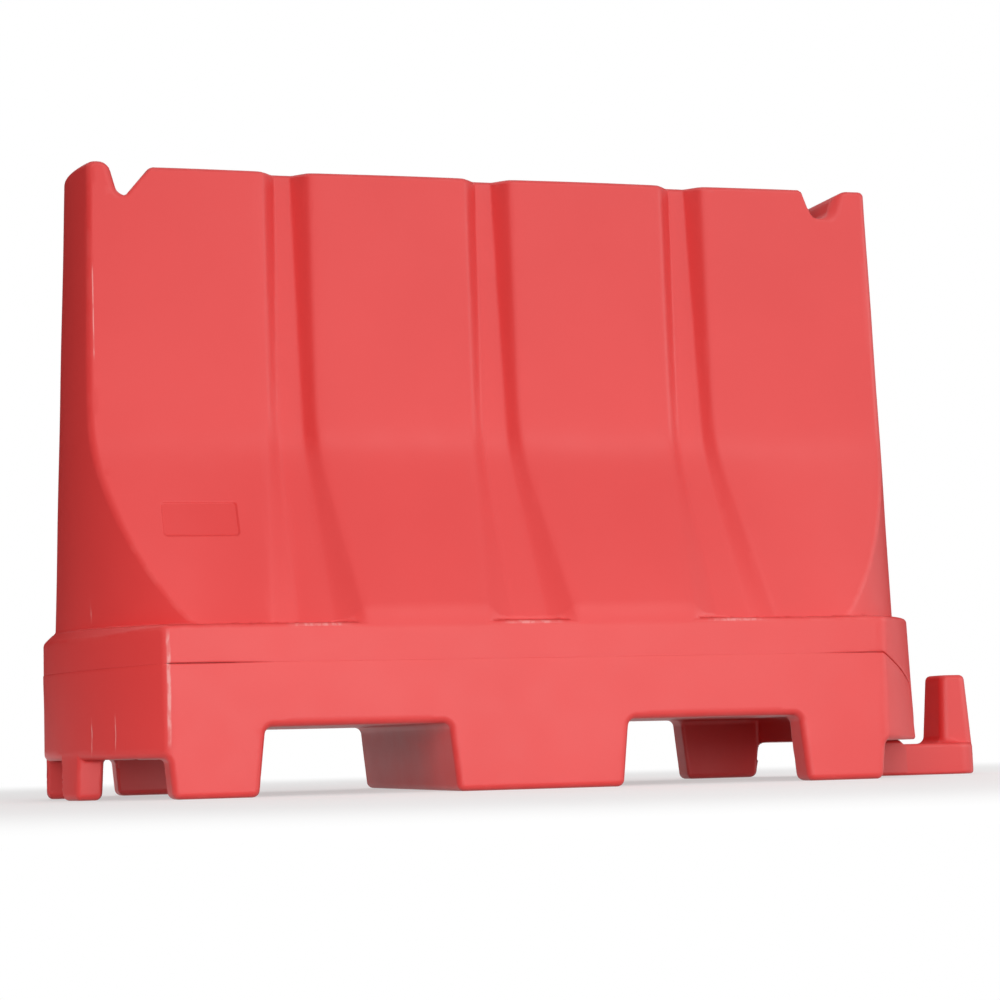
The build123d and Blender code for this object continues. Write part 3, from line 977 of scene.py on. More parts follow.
@dataclass
class BaseForm:
    """The base up to the ledge, with its tunnels, feet, pocket, socket and drain well. Millimetres."""

    ledge: float = 214.0
    half_width: float = 250.0
    side_lean: float = 2.0
    half_side: float = 475.0
    end_full: float = 560.0  # from here on the ends have their own roundings
    ends: Pair = (594.0, 602.0)
    end_leans: Pair = (1.0, 12.0)
    corner: float = 4.7
    ledge_edge: Pair = (3.0, 5.0)  # rounding of the ledge's rim, and what the left end adds
    ledge_chamfer: Pair = (3.0, 9.0)  # the same for its chamfer
    chamfer_edge: float = 2.0
    tunnel_middle: float = 236.5
    tunnel_half: float = 126.5
    tunnel_height: float = 86.0
    draft: float = 0.1051
    leg_depth: float = 45.0
    room_inset: float = 60.0  # how far the room behind the legs reaches into the tunnels
    room_edge: float = 6.0
    room_fillet: float = 4.0
    notch_height: float = 50.0
    notch_ceiling: float = 7.0
    foot_edge: float = 8.0
    ceiling: float = 9.0
    mouth_edge: Pair = (9.0, 5.0)  # rounding of the openings' rims, and what the right end takes off
    corner_foot: Pair = (75.0, 125.0)
    corner_foot_back: float = -536.0
    corner_foot_edge: float = 5.0
    corner_foot_sink: float = 20.0
    corner_foot_fillet: Pair = (4.7, 0.3)  # what it gains under the base, and what stays above
    fillet_span: Pair = (-6.0, 4.0)  # heights from the notch's ceiling between which one becomes the other
    pocket_place: float = -525.5
    pocket_half: Pair = (30.5, 40.0)
    pocket_corner: float = 10.0
    pocket_top: float = 144.0
    pivot: float = 530.0
    socket_radius: float = 28.3
    socket_top: float = 126.3
    drain_height: float = 46.0
    drain_radius: float = 34.0
    drain_seat: float = 234.0
    drain_bore: float = 19.3
    drain_bore_end: float = 200.0
    well_edge: float = 3.0  # rounding of the pocket's and the drain well's rims

    def outline(self, x: Array, y: Array, z: Array) -> Array:
        """Distance to the base's sides and bowed ends.

        Args:
            x: places along the barrier.
            y: places front to back.
            z: heights.

        Returns:
            The distance, below zero inside.
        """
        side = np.abs(y) - self.half_width + self.side_lean * z / self.ledge
        result = np.full(np.broadcast(x, y, z).shape, -1e3)
        for sign, end, lean in zip((-1, 1), self.ends, self.end_leans):
            tip = end - lean * z / self.ledge
            bow = tip - self.half_side
            radius = (bow**2 + self.half_width**2) / (2 * bow)
            arc = np.hypot(np.maximum(sign * x - tip + radius, 0), y) - radius
            result = np.maximum(result, arc)
        return round_meet(side, result, self.corner)

    def underside(self, x: Array, y: Array, z: Array) -> Array:
        """Distance to the open space under the base.

        Args:
            x: places along the barrier.
            y: places front to back.
            z: heights.

        Returns:
            The distance, below zero inside.
        """
        a = np.abs(x)
        lean = math.hypot(1, self.draft)
        tunnel = (np.abs(a - self.tunnel_middle) - self.tunnel_half + self.draft * z) / lean
        tunnel = round_meet(tunnel, z - self.tunnel_height, self.ceiling)
        leg = self.tunnel_middle + self.tunnel_half
        length = np.maximum(leg - self.room_inset - a, a - self.half_side)
        room = round_meet(np.abs(y) - self.half_width + self.leg_depth, length, self.room_edge)
        room = round_meet(room, z - self.tunnel_height, self.ceiling)
        foot = self.half_side - self.notch_height * self.draft
        end = round_meet((foot + self.draft * z - a) / lean, z - self.notch_height, self.notch_ceiling)
        return np.minimum(round_join(tunnel, room, self.room_fillet), end)

    def corner_feet(self, x: Array, y: Array, z: Array, outline: Array) -> Array:
        """Distance to the two feet beside the slot of the left end.

        Args:
            x: places along the barrier.
            y: places front to back.
            z: heights.
            outline: distance to the base's sides and ends there.

        Returns:
            The distance, below zero inside.
        """
        inner, outer = self.corner_foot
        narrow = (self.notch_height - z) * self.draft / 2
        width = np.abs(np.abs(y) - (inner + outer) / 2) - (outer - inner) / 2 + narrow
        length = x - self.corner_foot_back + narrow
        foot = round_meet(width, length, self.corner_foot_edge)
        foot = round_meet(foot, outline, self.corner_foot_edge)
        return np.maximum(foot, z - self.notch_height - self.corner_foot_sink)

    def distance(self, x: Array, y: Array, z: Array) -> Array:
        """Distance to the base's surface.

        Args:
            x: places along the barrier.
            y: places front to back.
            z: heights.

        Returns:
            The distance, below zero inside.
        """
        outline = self.outline(x, y, z)
        left = 1 - ease(x, -self.end_full, -self.half_side)
        right = ease(x, self.half_side, self.end_full)
        body = round_meet(outline, z - self.ledge, self.ledge_edge[0] + self.ledge_edge[1] * left)
        chamfer = self.ledge_chamfer[0] + self.ledge_chamfer[1] * left
        body = round_meet(body, (outline + z - self.ledge + chamfer) * math.sqrt(0.5), self.chamfer_edge)
        body = round_cut(body, self.underside(x, y, z), self.mouth_edge[0] - self.mouth_edge[1] * right)
        under, flush = self.corner_foot_fillet
        root = flush + under * (1 - ease(z - self.notch_height, *self.fillet_span))
        body = round_join(body, self.corner_feet(x, y, z, outline), root)
        body = round_meet(body, -z, self.foot_edge)
        pocket = rounded_box(x - self.pocket_place, y, *self.pocket_half, self.pocket_corner)
        body = round_cut(body, np.maximum(pocket, z - self.pocket_top), self.well_edge)
        socket = np.maximum(np.hypot(x - self.pivot, y) - self.socket_radius, z - self.socket_top)
        body = np.maximum(body, -socket)
        around = np.hypot(x, z - self.drain_height)
        body = round_cut(body, np.maximum(around - self.drain_radius, self.drain_seat - y), self.well_edge)
        return np.maximum(body, -np.maximum(around - self.drain_bore, self.drain_bore_end - y))


@dataclass
class Shells:
    """The two hollow mouldings: one soft form, parted along the joint line round the base. Millimetres."""

    wall: WallForm = field(default_factory=WallForm)
    base: BaseForm = field(default_factory=BaseForm)
    fillet: Pair = (0.4, 3.0)  # where the wall stands on the ledge, along the sides and at the ends
    fillet_fade: Pair = (400.0, 500.0)  # between these places along the barrier one becomes the other
    wave: float = 0.35  # unevenness that cooling leaves in the mould's skin
    wave_lengths: tuple[Pair, Pair] = ((61.0, 97.0), (-149.0, 53.0))  # along X and Z, of its two waves
    wave_start: float = 0.7
    wave_rise: Pair = (8.0, 60.0)  # heights over which it sets in, so that the feet stand true
    seam: float = 166.0
    seam_left_fall: float = 5.0
    seam_right: tuple[Pair, ...] = ((475.0, 166.0), (520.0, 143.0), (548.0, 126.0), (569.0, 84.0))
    open_left: tuple[Pair, Pair] = ((-478.0, -474.0), (-420.0, -330.0))  # where the joint opens and closes
    open_right: Pair = (370.0, 470.0)
    open_least: float = 0.02
    left_end: Pair = (-500.0, -478.0)  # where the base's left end begins
    left_step: float = 0.6  # share of the step by which the base stands out there
    left_rim: float = 0.3  # how far the base's rim is turned in there
    step: float = 0.8  # the base sits back by this much where the joint stands open
    proud: float = 0.25  # share of the step by which it stands out where the joint is closed
    step_fade: float = 45.0
    upright: float = 0.6  # only faces steeper than this sit back
    gap: float = 0.5
    lip: float = 1.5  # from the joint line to where the rims start to turn in
    rim_rows: tuple[Pair, ...] = ((0.35, 0.72), (1.0, 1.0), (6.0, 1.0))  # inward and toward the joint
    rim_least: float = 0.05  # how far a rim turns in where the joint is closed
    rim_rise: float = 0.7  # least share of the lip that is left on a steep run of the joint
    cut_reach: float = 40.0  # faces up to this far over the joint line are cut along it
    socket_margin: float = 3.0
    panel_margin: Pair = (6.0, 5.0)  # how far round the bare panel the faces are divided
    panel_outside: float = 60.0  # the panel's outer face lies beyond this
    panel_facing: float = -0.5  # its faces point further than this to -Y
    panel_cuts: int = 3
    bend_cuts: int = 2
    grid: float = 9.6
    quick_grid: float = 1.6
    box: tuple[Pair, Pair] = ((-604.0, 612.0), (-258.0, 258.0))  # the grid's reach along X and Y
    levels: tuple[float, ...] = (-6.0, 214.0, 772.0, 830.0)  # heights between which its rows differ
    level_share: Triple = (0.7, 1.0, 0.75)  # their height as a share of the grid
    crisp: float = 14.0  # degrees that a face may bend before it is divided
    beyond: float = 400.0  # well past the ends

    def distance(self, x: Array, y: Array, z: Array) -> Array:
        """Distance to the whole body's surface.

        Args:
            x: places along the barrier.
            y: places front to back.
            z: heights.

        Returns:
            The distance, below zero inside.
        """
        side, end = self.fillet
        fillet = end + (side - end) * (1 - ease(np.abs(x), *self.fillet_fade))
        body = round_join(self.wall.distance(x, y, z), self.base.distance(x, y, z), fillet)
        (long_x, long_z), (cross_x, cross_z) = self.wave_lengths
        ripple = np.sin(x / long_x + z / long_z + self.wave_start) * np.sin(z / cross_z + x / cross_x)
        return body + self.wave * ripple * ease(z, *self.wave_rise)

    def seam_planes(self) -> list[tuple[float, float, Vector, Vector]]:
        """The straight runs of the joint line.

        Returns:
            For each run its two ends along X, a point on its plane and the plane's upward normal.
        """
        half = self.base.half_side
        fall = self.seam_left_fall / (self.base.ends[0] - half)
        bends = [(-half - self.beyond, self.seam - self.beyond * fall), (-half, self.seam), *self.seam_right]
        runs = []
        for (start, left), (end, right) in zip(bends, bends[1:]):
            normal = Vector(((left - right) / (end - start), 0, 1)).normalized()
            last = end == bends[-1][0]
            runs.append((start, end + self.beyond if last else end, Vector((start, 0, left)), normal))
        return runs

    def above(self, points: Array) -> Array:
        """Height of points over the joint line.

        Args:
            points: rows of three coordinates.

        Returns:
            The heights, below zero under it.
        """
        result = np.zeros(len(points))
        for low, high, place, normal in self.seam_planes():
            here = (points[:, 0] >= low) & (points[:, 0] < high)
            result[here] = (points[here] - np.array(place)) @ np.array(normal) / normal.z
        return result

    def open_share(self, x: Array) -> Array:
        """How far the joint stands open at places along the barrier, from 0 to 1.

        Args:
            x: places along the barrier.

        Returns:
            The shares.
        """
        opens, closes = self.open_left
        left = ease(x, *opens) * (1 - ease(x, *closes))
        return self.open_least + (1 - self.open_least) * np.maximum(left, ease(x, *self.open_right))

    def left_share(self, x: Array) -> Array:
        """1 at the left end and 0 along the sides."""
        return 1 - ease(x, *self.left_end)

    def in_socket(self, points: Array) -> Array:
        """True for points in the hook's socket, which is the base's alone.

        Args:
            points: rows of three coordinates.

        Returns:
            One answer for each.
        """
        around = np.hypot(points[:, 0] - self.base.pivot, points[:, 1])
        under = points[:, 2] < self.base.socket_top + self.socket_margin
        return (around < self.base.socket_radius + self.socket_margin) & under

    def skin(self, mesher: Mesher) -> BMesh:
        """The whole skin, finer on the bare panel and where the form bends.

        Args:
            mesher: the form.

        Returns:
            The skin.
        """
        size = self.grid * 1.0
        runs = zip(self.levels, self.levels[1:], self.level_share)
        rows = [steps(low, high, size * share) for low, high, share in runs]
        heights = np.concatenate([rows[0], *(row[1:] for row in rows[1:])])
        points, quads = mesher.skin((*(steps(*reach, size) for reach in self.box), heights))
        mesh = plain_mesh("skin", points, quads)
        bm = bmesh.new()
        bm.from_mesh(mesh)
        bpy.data.meshes.remove(mesh)
        self.divide(bm, self.panel_faces(bm), self.panel_cuts)
        self.divide(bm, self.bent_faces(bm, mesher), self.bend_cuts)
        self.settle(bm, mesher)
        return bm

    def panel_faces(self, bm: BMesh) -> list[bmesh.types.BMFace]:
        """Faces on and close round the bare panel of the front.

        Args:
            bm: the skin.

        Returns:
            The faces.
        """
        half_x, half_z = np.add(self.wall.panel_half, self.panel_margin)
        picked = []
        for face in bm.faces:
            middle = face.calc_center_median()
            along, up = abs(middle.x - self.wall.panel_place), abs(middle.z - self.wall.panel_height)
            if face.normal.y < self.panel_facing and along < half_x and up < half_z:
                picked.append(face)
        return picked

    def part(self, bm: BMesh) -> None:
        """Cuts the whole skin along both sides of the joint line.

        Args:
            bm: the skin.
        """
        for start, *_ in self.seam_planes()[1:]:
            everything = bm.verts[:] + bm.edges[:] + bm.faces[:]
            bmesh.ops.bisect_plane(bm, geom=everything, dist=WELD, plane_co=(start, 0, 0), plane_no=(1, 0, 0))
        for start, end, place, normal in self.seam_planes():
            middles = np.array([f.calc_center_median() for f in bm.faces])
            pick = (middles[:, 0] > start) & (middles[:, 0] < end)
            pick &= (middles[:, 2] < self.seam + self.cut_reach) & ~self.in_socket(middles)
            faces = [f for f, wanted in zip(bm.faces, pick) if wanted]
            edges, verts = {e for f in faces for e in f.edges}, {v for f in faces for v in f.verts}
            geom = [*faces, *edges, *verts]
            for rim in (-self.lip, self.lip):
                level = place + Vector((0, 0, rim))
                cut = bmesh.ops.bisect_plane(bm, geom=geom, dist=WELD, plane_co=level, plane_no=normal)
                geom = list(set(cut["geom"]) | set(cut["geom_cut"]))

    @staticmethod
    def divide(bm: BMesh, faces: Iterable[bmesh.types.BMFace], cuts: int) -> None:
        """Divides faces by a number of cuts along each edge."""
        edges = list({e for f in faces for e in f.edges})
        bmesh.ops.subdivide_edges(bm, edges=edges, cuts=cuts, use_grid_fill=True)

    def bent_faces(self, bm: BMesh, mesher: Mesher) -> list[bmesh.types.BMFace]:
        """Faces across which the form turns by more than the crisp angle.

        Args:
            bm: the skin.
            mesher: the form.

        Returns:
            The faces.
        """
        normals = mesher.normals(np.array([v.co for v in self.indexed(bm)]))
        limit = math.cos(math.radians(self.crisp))
        picked = []
        for face in bm.faces:
            rows = normals[[v.index for v in face.verts]]
            if (rows @ rows.T).min() < limit:
                picked.append(face)
        return picked

    def settle(self, bm: BMesh, mesher: Mesher) -> None:
        """Brings all points back onto the form.

        Args:
            bm: the skin.
            mesher: the form.
        """
        points = mesher.project(np.array([v.co for v in self.indexed(bm)]), 4)
        for vert, place in zip(bm.verts, points):
            vert.co = place

    def set_back(self, points: Array, normals: Array) -> Array:
        """How far the base sits back at points below the joint line.

        Args:
            points: the points.
            normals: the form's normals there.

        Returns:
            The distances.
        """
        depth = np.maximum(-self.above(points), 0)
        opened = (1 + self.proud) * self.open_share(points[:, 0]) - self.proud
        step = self.step * (opened - self.left_step * self.left_share(points[:, 0]))
        upright = np.abs(normals[:, 2]) < self.upright
        return step * (1 - ease(depth, 0, self.step_fade)) * upright * ~self.in_socket(points)

    def close(self, bm: BMesh, normals: dict[bmesh.types.BMVert, Vector], upper: bool) -> None:
        """Turns a shell's rim in at the joint line and closes it inside.

        Args:
            bm: the shell's open skin.
            normals: the form's normals at the rim's points.
            upper: True for the upper shell, False for the base.
        """
        side = 1 if upper else -1
        spine = {}
        for vert, normal in normals.items():
            plane = next(n for low, high, _, n in self.seam_planes() if low <= vert.co.x < high)
            along = (plane - normal * plane.dot(normal)).normalized() * side
            share = float(self.open_share(vert.co.x))
            if not upper:
                share = max(share, self.left_rim * float(self.left_share(vert.co.x)))
            inward = normal * (self.rim_least + (1 - self.rim_least) * share)
            toward = along * (self.lip - self.gap * share) * max(plane.z, self.rim_rise)
            spine[vert] = (vert.co.copy(), inward, toward)
        ring = [e for e in bm.edges if e.is_boundary]
        for deep, far in self.rim_rows:
            made = bmesh.ops.extrude_edge_only(bm, edges=ring)["geom"]
            ring = [g for g in made if isinstance(g, bmesh.types.BMEdge) and g.is_boundary]
            following = {}
            for vert in (g for g in made if isinstance(g, bmesh.types.BMVert)):
                sources = [e.other_vert(vert) for e in vert.link_edges if e.other_vert(vert) in spine]
                following[vert] = spine[min(sources, key=lambda s: (s.co - vert.co).length)]
            for vert, (start, inward, toward) in following.items():
                vert.co = start - inward * deep - toward * far
            spine = following
        bmesh.ops.triangle_fill(bm, edges=ring, use_beauty=True, normal=(0, 0, -side))
        bmesh.ops.recalc_face_normals(bm, faces=bm.faces[:])

    def half(self, parted: BMesh, mesher: Mesher, upper: bool) -> Mesh:
        """One of the two shells, its rim turned in and closed.

        Args:
            parted: the whole skin, cut along the joint line.
            mesher: the form.
            upper: True for the upper shell, False for the base.

        Returns:
            The mesh, in metres.
        """
        bm = parted.copy()
        middles = np.array([f.calc_center_median() for f in bm.faces])
        height = np.where(self.in_socket(middles), -self.beyond, self.above(middles))
        kept = height > self.lip if upper else height < -self.lip
        bmesh.ops.delete(bm, geom=[f for f, keep in zip(bm.faces, kept) if not keep], context="FACES")
        bmesh.ops.delete(bm, geom=[v for v in bm.verts if not v.link_faces], context="VERTS")
        points = np.array([v.co for v in bm.verts])
        rim = {v.index for v in self.indexed(bm) for e in v.link_edges if e.is_boundary}
        loose = np.array([number not in rim for number in range(len(points))])
        points[loose] = mesher.project(points[loose], 2)
        normals = mesher.normals(points)
        if not upper:
            points = points - normals * self.set_back(points, normals)[:, None]
        for vert, place in zip(bm.verts, points):
            vert.co = place
        self.close(bm, {bm.verts[number]: Vector(normals[number]) for number in rim}, upper)
        mesh = bpy.data.meshes.new("upper_shell" if upper else "base_shell")
        bm.to_mesh(mesh)
        bm.free()
        mesh.polygons.foreach_set("use_smooth", np.ones(len(mesh.polygons), bool))
        dress_bends(mesh, mesher, np.arange(len(mesh.vertices)) < len(points))
        self.mark_panel(mesh)
        mesh.transform(Matrix.Scale(MM, 4))
        return mesh

    def mark_panel(self, mesh: Mesh) -> None:
        """Gives a shell in millimetres an attribute that is 1 on the bare panel's outer face.

        Args:
            mesh: the shell's mesh.
        """
        places = points_of(mesh)
        outside = np.abs(places[:, 1]) > self.panel_outside
        pad = self.wall.panel(*places.T) / self.wall.panel_depth * outside
        mesh.attributes.new("pad", "FLOAT", "POINT").data.foreach_set("value", pad.astype(np.float32))

    @staticmethod
    def indexed(bm: BMesh) -> Iterable[bmesh.types.BMVert]:
        """The points of a mesh with their numbers brought up to date.

        Args:
            bm: the mesh.

        Returns:
            Its points.
        """
        bm.verts.ensure_lookup_table()
        bm.verts.index_update()
        return bm.verts

    def build(self, material: Material) -> None:
        """Makes both shells and puts them on the barrier's body.

        Args:
            material: their finish.
        """
        mesher = Mesher(self.distance)
        parted = self.skin(mesher)
        self.part(parted)
        for name, upper in (("upper_shell", True), ("base_shell", False)):
            mesh = self.half(parted, mesher, upper)
            show(name + "_skin", mesh, "barrier", material, name)
        parted.free()


@dataclass
class HookForm:
    """The coupling hook: tongue on the floor, peg under the base, free upright post. Millimetres."""

    pivot: float = 530.0
    half_width: float = 53.0
    tip: float = 706.0
    far_corner: float = 34.0
    thickness: float = 43.0
    top_edge: float = 5.0
    floor_edge: float = 4.0
    side_draft: float = 0.02
    draft_start: float = 12.0
    shoulder_end: float = 592.0
    shoulder_top: float = 49.7
    shoulder_run: float = 9.0  # length of its slope
    root_narrow: float = 9.0  # the tongue's sides draw in toward the base by this much
    root_slope: float = 0.26
    peg_radius: float = 28.0
    peg_top: float = 126.0
    peg_edge: float = 3.0
    post_half: Pair = (25.5, 35.0)
    post_top: float = 139.0
    post_draft: float = 0.0524
    post_edges: Triple = (11.0, 9.0, 7.0)  # on the side of the barrier, outside and on top
    post_fillet: Pair = (9.5, 0.5)  # what it gains on the side of the barrier, and what stays at the tip
    fillet_fade: Pair = (40.0, 16.0)  # from the tip, where one becomes the other
    sunk: float = 25.0  # height from which peg and post rise inside the tongue
    grid: float = 2.6
    slope_reach: float = 0.25
    box: tuple[Pair, Pair, Pair] = ((472.0, 712.0), (-58.0, 58.0), (-4.0, 142.0))  # the grid's reach

    def plan(self, x: Array, y: Array, z: Array) -> Array:
        """Distance to the tongue's sides and ends.

        Args:
            x: places along the barrier.
            y: places front to back.
            z: heights.

        Returns:
            The distance, below zero inside.
        """
        middle = (self.pivot + self.tip) / 2
        tongue = rounded_box(x - middle, y, (self.tip - self.pivot) / 2, self.half_width, self.far_corner)
        heel = np.hypot(x - self.pivot, y) - self.half_width
        straight = np.maximum(np.abs(y) - self.half_width, np.maximum(self.pivot - x, x - middle))
        plan = np.minimum(np.minimum(tongue, heel), straight)
        plan = plan + self.side_draft * np.maximum(z - self.draft_start, 0)
        return plan + np.clip(self.root_slope * (self.shoulder_end - x), 0, self.root_narrow)

    def distance(self, x: Array, y: Array, z: Array) -> Array:
        """Distance to the hook's surface.

        Args:
            x: places along the barrier.
            y: places front to back.
            z: heights.

        Returns:
            The distance, below zero inside.
        """
        plan = self.plan(x, y, z)
        shoulder = 1 - ease(x, self.shoulder_end - self.shoulder_run, self.shoulder_end)
        height = self.thickness + (self.shoulder_top - self.thickness) * shoulder
        body = round_meet(round_meet(plan, z - height, self.top_edge), -z, self.floor_edge)
        narrow = self.post_draft * (z - self.thickness)
        near = self.tip - 2 * self.post_half[0] + narrow - x
        near_edge, far_edge, head_edge = self.post_edges
        post = round_meet(np.abs(y) - self.post_half[1] + narrow, near, near_edge)
        post = round_meet(round_meet(post, plan + narrow, far_edge), z - self.post_top, head_edge)
        gain, least = self.post_fillet
        start, end = self.fillet_fade
        fillet = least + gain * (1 - ease(x, self.tip - start, self.tip - end))
        body = round_join(body, np.maximum(post, self.sunk - z), fillet)
        peg = round_meet(np.hypot(x - self.pivot, y) - self.peg_radius, z - self.peg_top, self.peg_edge)
        return np.minimum(body, np.maximum(peg, self.sunk - z))

    def build(self, material: Material) -> None:
        """Makes the hook and puts it on its body.

        Args:
            material: its finish.
        """
        mesher = Mesher(self.distance, self.slope_reach)
        points, quads = mesher.skin([steps(*reach, self.grid) for reach in self.box])
        mesh = plain_mesh("coupling_hook", points, quads)
        dress_bends(mesh, mesher, np.ones(len(points), bool))
        mesh.transform(Matrix.Scale(MM, 4))
        show("coupling_hook_skin", mesh, "hook", material, "coupling_hook")


@dataclass
class ScrewFitting:
    """A screw closure: ring in the shell, flat seal, and a cap with a grip bar and a threaded stem.

    Sizes are millimetres from the ring's seat, along the fitting's own axis.
    """

    name: str
    cap: str
    ring: str
    turn: Turn
    place: Triple
    flange: Pair  # radius and thickness
    bore: float
    bore_wall: float
    bore_depth: float
    seal: Pair  # radius and thickness, as for the head
    head: Pair
    grip: Triple  # length, width and height
    stem_wall: float
    stem_length: float
    ribs: int
    grid: float
    pitch: float = 6.0
    thread: float = 1.8  # play between stem and bore that the threads fill
    rib: float = 1.8
    rim: float = 5.0  # width of the rim round the head's dish
    dish: float = 1.5
    head_edges: Triple = (1.8, 0.7, 1.0)  # rounding on top, below and round the dish
    grip_draft: float = 0.10
    grip_waist: Pair = (0.16, 0.3)  # its depth and reach, as shares of the grip's width and length
    grip_edge: float = 2.2
    grip_fillet: float = 1.6
    stem_edges: Pair = (1.0, 0.8)  # rounding outside and inside
    stem_loss: float = 1.3  # what the stem's wall loses inside
    play: float = 0.03  # between the head and the seal
    seal_play: float = 0.02  # between the seal and the ring
    overlap: float = 1.0  # how far the grip and the stem run into the head
    grip_flat: float = 0.05  # what the grip's round ends leave straight
    rib_ends: Pair = (0.6, 0.9)  # how far the ribs stop short of the head's underside and top
    rib_parts: int = 9
    rib_taper: float = 0.25  # share of a rib over which each end is drawn in
    thread_parts: int = 72  # to one turn
    thread_taper: float = 0.08
    bore_thread: Pair = (0.35, 1.2)  # how far outside the bore its middle line runs, and its width
    bore_ends: Pair = (3.0, 2.0)  # what the thread leaves free at the bore's foot and top
    stem_thread: Pair = (1.5, 1.7)  # how far inside the bore its middle line runs, and its width
    stem_ends: Pair = (2.0, 4.0)  # what the thread leaves free at the stem's foot and top
    ring_soft: float = 1.3  # rounding of the ring's and the seal's corners
    seal_soft: float = 0.7
    margin: float = 2.0  # from the cap to the grid's edge
    quick_grid: float = 1.8
    slope_reach: float = 0.15

    @property
    def seat(self) -> float:
        """Height of the cap's underside over the seat."""
        return self.flange[1] + self.seal[1]

    def cap_distance(self, x: Array, y: Array, z: Array) -> Array:
        """Distance to the cap's surface.

        Args:
            x: places along the grip.
            y: places across it.
            z: places along the axis.

        Returns:
            The distance, below zero inside.
        """
        around = np.hypot(x, y)
        radius = self.head[0] - self.rib / 2
        low, high = self.seat + self.play, self.seat + self.head[1]
        top_edge, low_edge, dish_edge = self.head_edges
        disc = round_meet(round_meet(around - radius, z - high, top_edge), low - z, low_edge)
        disc = round_cut(disc, np.maximum(around - radius + self.rim, high - self.dish - z), dish_edge)
        length, width, height = self.grip
        bar = rounded_box(x, y, length / 2, width / 2, width / 2 - self.grip_flat)
        bar = bar + self.grip_draft * (z - high)
        deep, far = self.grip_waist
        waist = deep * width * np.exp(-((x / (far * length)) ** 2))
        bar = round_meet(bar + waist, z - high - height, self.grip_edge)
        cap = round_join(disc, np.maximum(bar, low + self.overlap - z), self.grip_fillet)
        core = self.bore - self.thread
        outer_edge, inner_edge = self.stem_edges
        stem = round_meet(around - core, self.seat - self.stem_length - z, outer_edge)
        stem = round_cut(stem, around - core + self.stem_wall - self.stem_loss, inner_edge)
        return round_join(cap, np.maximum(stem, z - low - self.overlap), inner_edge)

    def cap_mesh(self) -> Mesh:
        """The cap without its ribs and thread.

        Returns:
            The mesh, in the fitting's own millimetres.
        """
        mesher = Mesher(self.cap_distance, self.slope_reach)
        reach = self.head[0] + self.margin
        size = self.grid * 1.0
        across = steps(-reach, reach, size)
        low = self.seat - self.stem_length - self.margin
        top = self.seat + self.head[1] + self.grip[2] + self.margin
        points, quads = mesher.skin((across, across, steps(low, top, size)))
        mesh = plain_mesh(self.cap, points, quads)
        dress_bends(mesh, mesher, np.ones(len(points), bool))
        return mesh

    def rib_mesh(self, material: Material) -> Mesh:
        """The row of grip ribs round the cap's rim.

        Args:
            material: their finish.

        Returns:
            The mesh, in the fitting's own millimetres.
        """
        sizes = {"Count": self.ribs, "Radius": self.head[0] - self.rib / 2, "Width": self.rib}
        short, shorter = self.rib_ends
        sizes |= {"Low": self.seat + short, "High": self.seat + self.head[1] - shorter}
        tree = Pattern(self.cap + "_ribs", sizes)
        low, high = (
            tree.add("ShaderNodeCombineXYZ", {"Z": tree.sizes[label]}).outputs[0] for label in ("Low", "High")
        )
        line = tree.add("GeometryNodeCurvePrimitiveLine", {"Start": low, "End": high}).outputs[0]
        line = tree.add("GeometryNodeResampleCurve", {"Curve": line, "Count": self.rib_parts}).outputs[0]
        rib = tree.swept(line, tree.sizes["Width"], self.rib_taper)
        circle = {"Vertices": tree.sizes["Count"], "Radius": tree.sizes["Radius"]}
        rim = tree.add("GeometryNodeMeshCircle", circle).outputs[0]
        row = tree.add("GeometryNodeInstanceOnPoints", {"Points": rim, "Instance": rib}).outputs[0]
        return tree.grown(row, material)

    def thread_mesh(self, label: str, radius: float, width: float, run: Pair, material: Material) -> Mesh:
        """A round thread that winds up the stem or the bore.

        Args:
            label: the tree's name.
            radius: radius of the thread's middle line.
            width: its width.
            run: where it starts and ends.
            material: its finish.

        Returns:
            The mesh.
        """
        turns = (run[1] - run[0]) / self.pitch
        sizes = {"Radius": radius, "Width": width, "Turns": turns, "Pitch": self.pitch, "Low": run[0]}
        tree = Pattern(label, {name: float(size) for name, size in sizes.items()})
        rise = tree.math("MULTIPLY", tree.sizes["Turns"], tree.sizes["Pitch"])
        inputs = {"Resolution": self.thread_parts, "Rotations": tree.sizes["Turns"], "Height": rise}
        inputs |= {"Start Radius": tree.sizes["Radius"], "End Radius": tree.sizes["Radius"]}
        path = tree.add("GeometryNodeCurveSpiral", inputs).outputs[0]
        lift = tree.add("ShaderNodeCombineXYZ", {"Z": tree.sizes["Low"]}).outputs[0]
        path = tree.add("GeometryNodeTransform", {"Geometry": path, "Translation": lift}).outputs[0]
        return tree.grown(tree.swept(path, tree.sizes["Width"], self.thread_taper), material)

    def put(self, name: str, mesh: Mesh, body: str, material: Material, node: str = "") -> None:
        """Puts one of the fitting's meshes, in its own millimetres, in its place on the barrier."""
        mesh.transform(self.turn.place(*self.place))
        show(name, mesh, body, material, node)

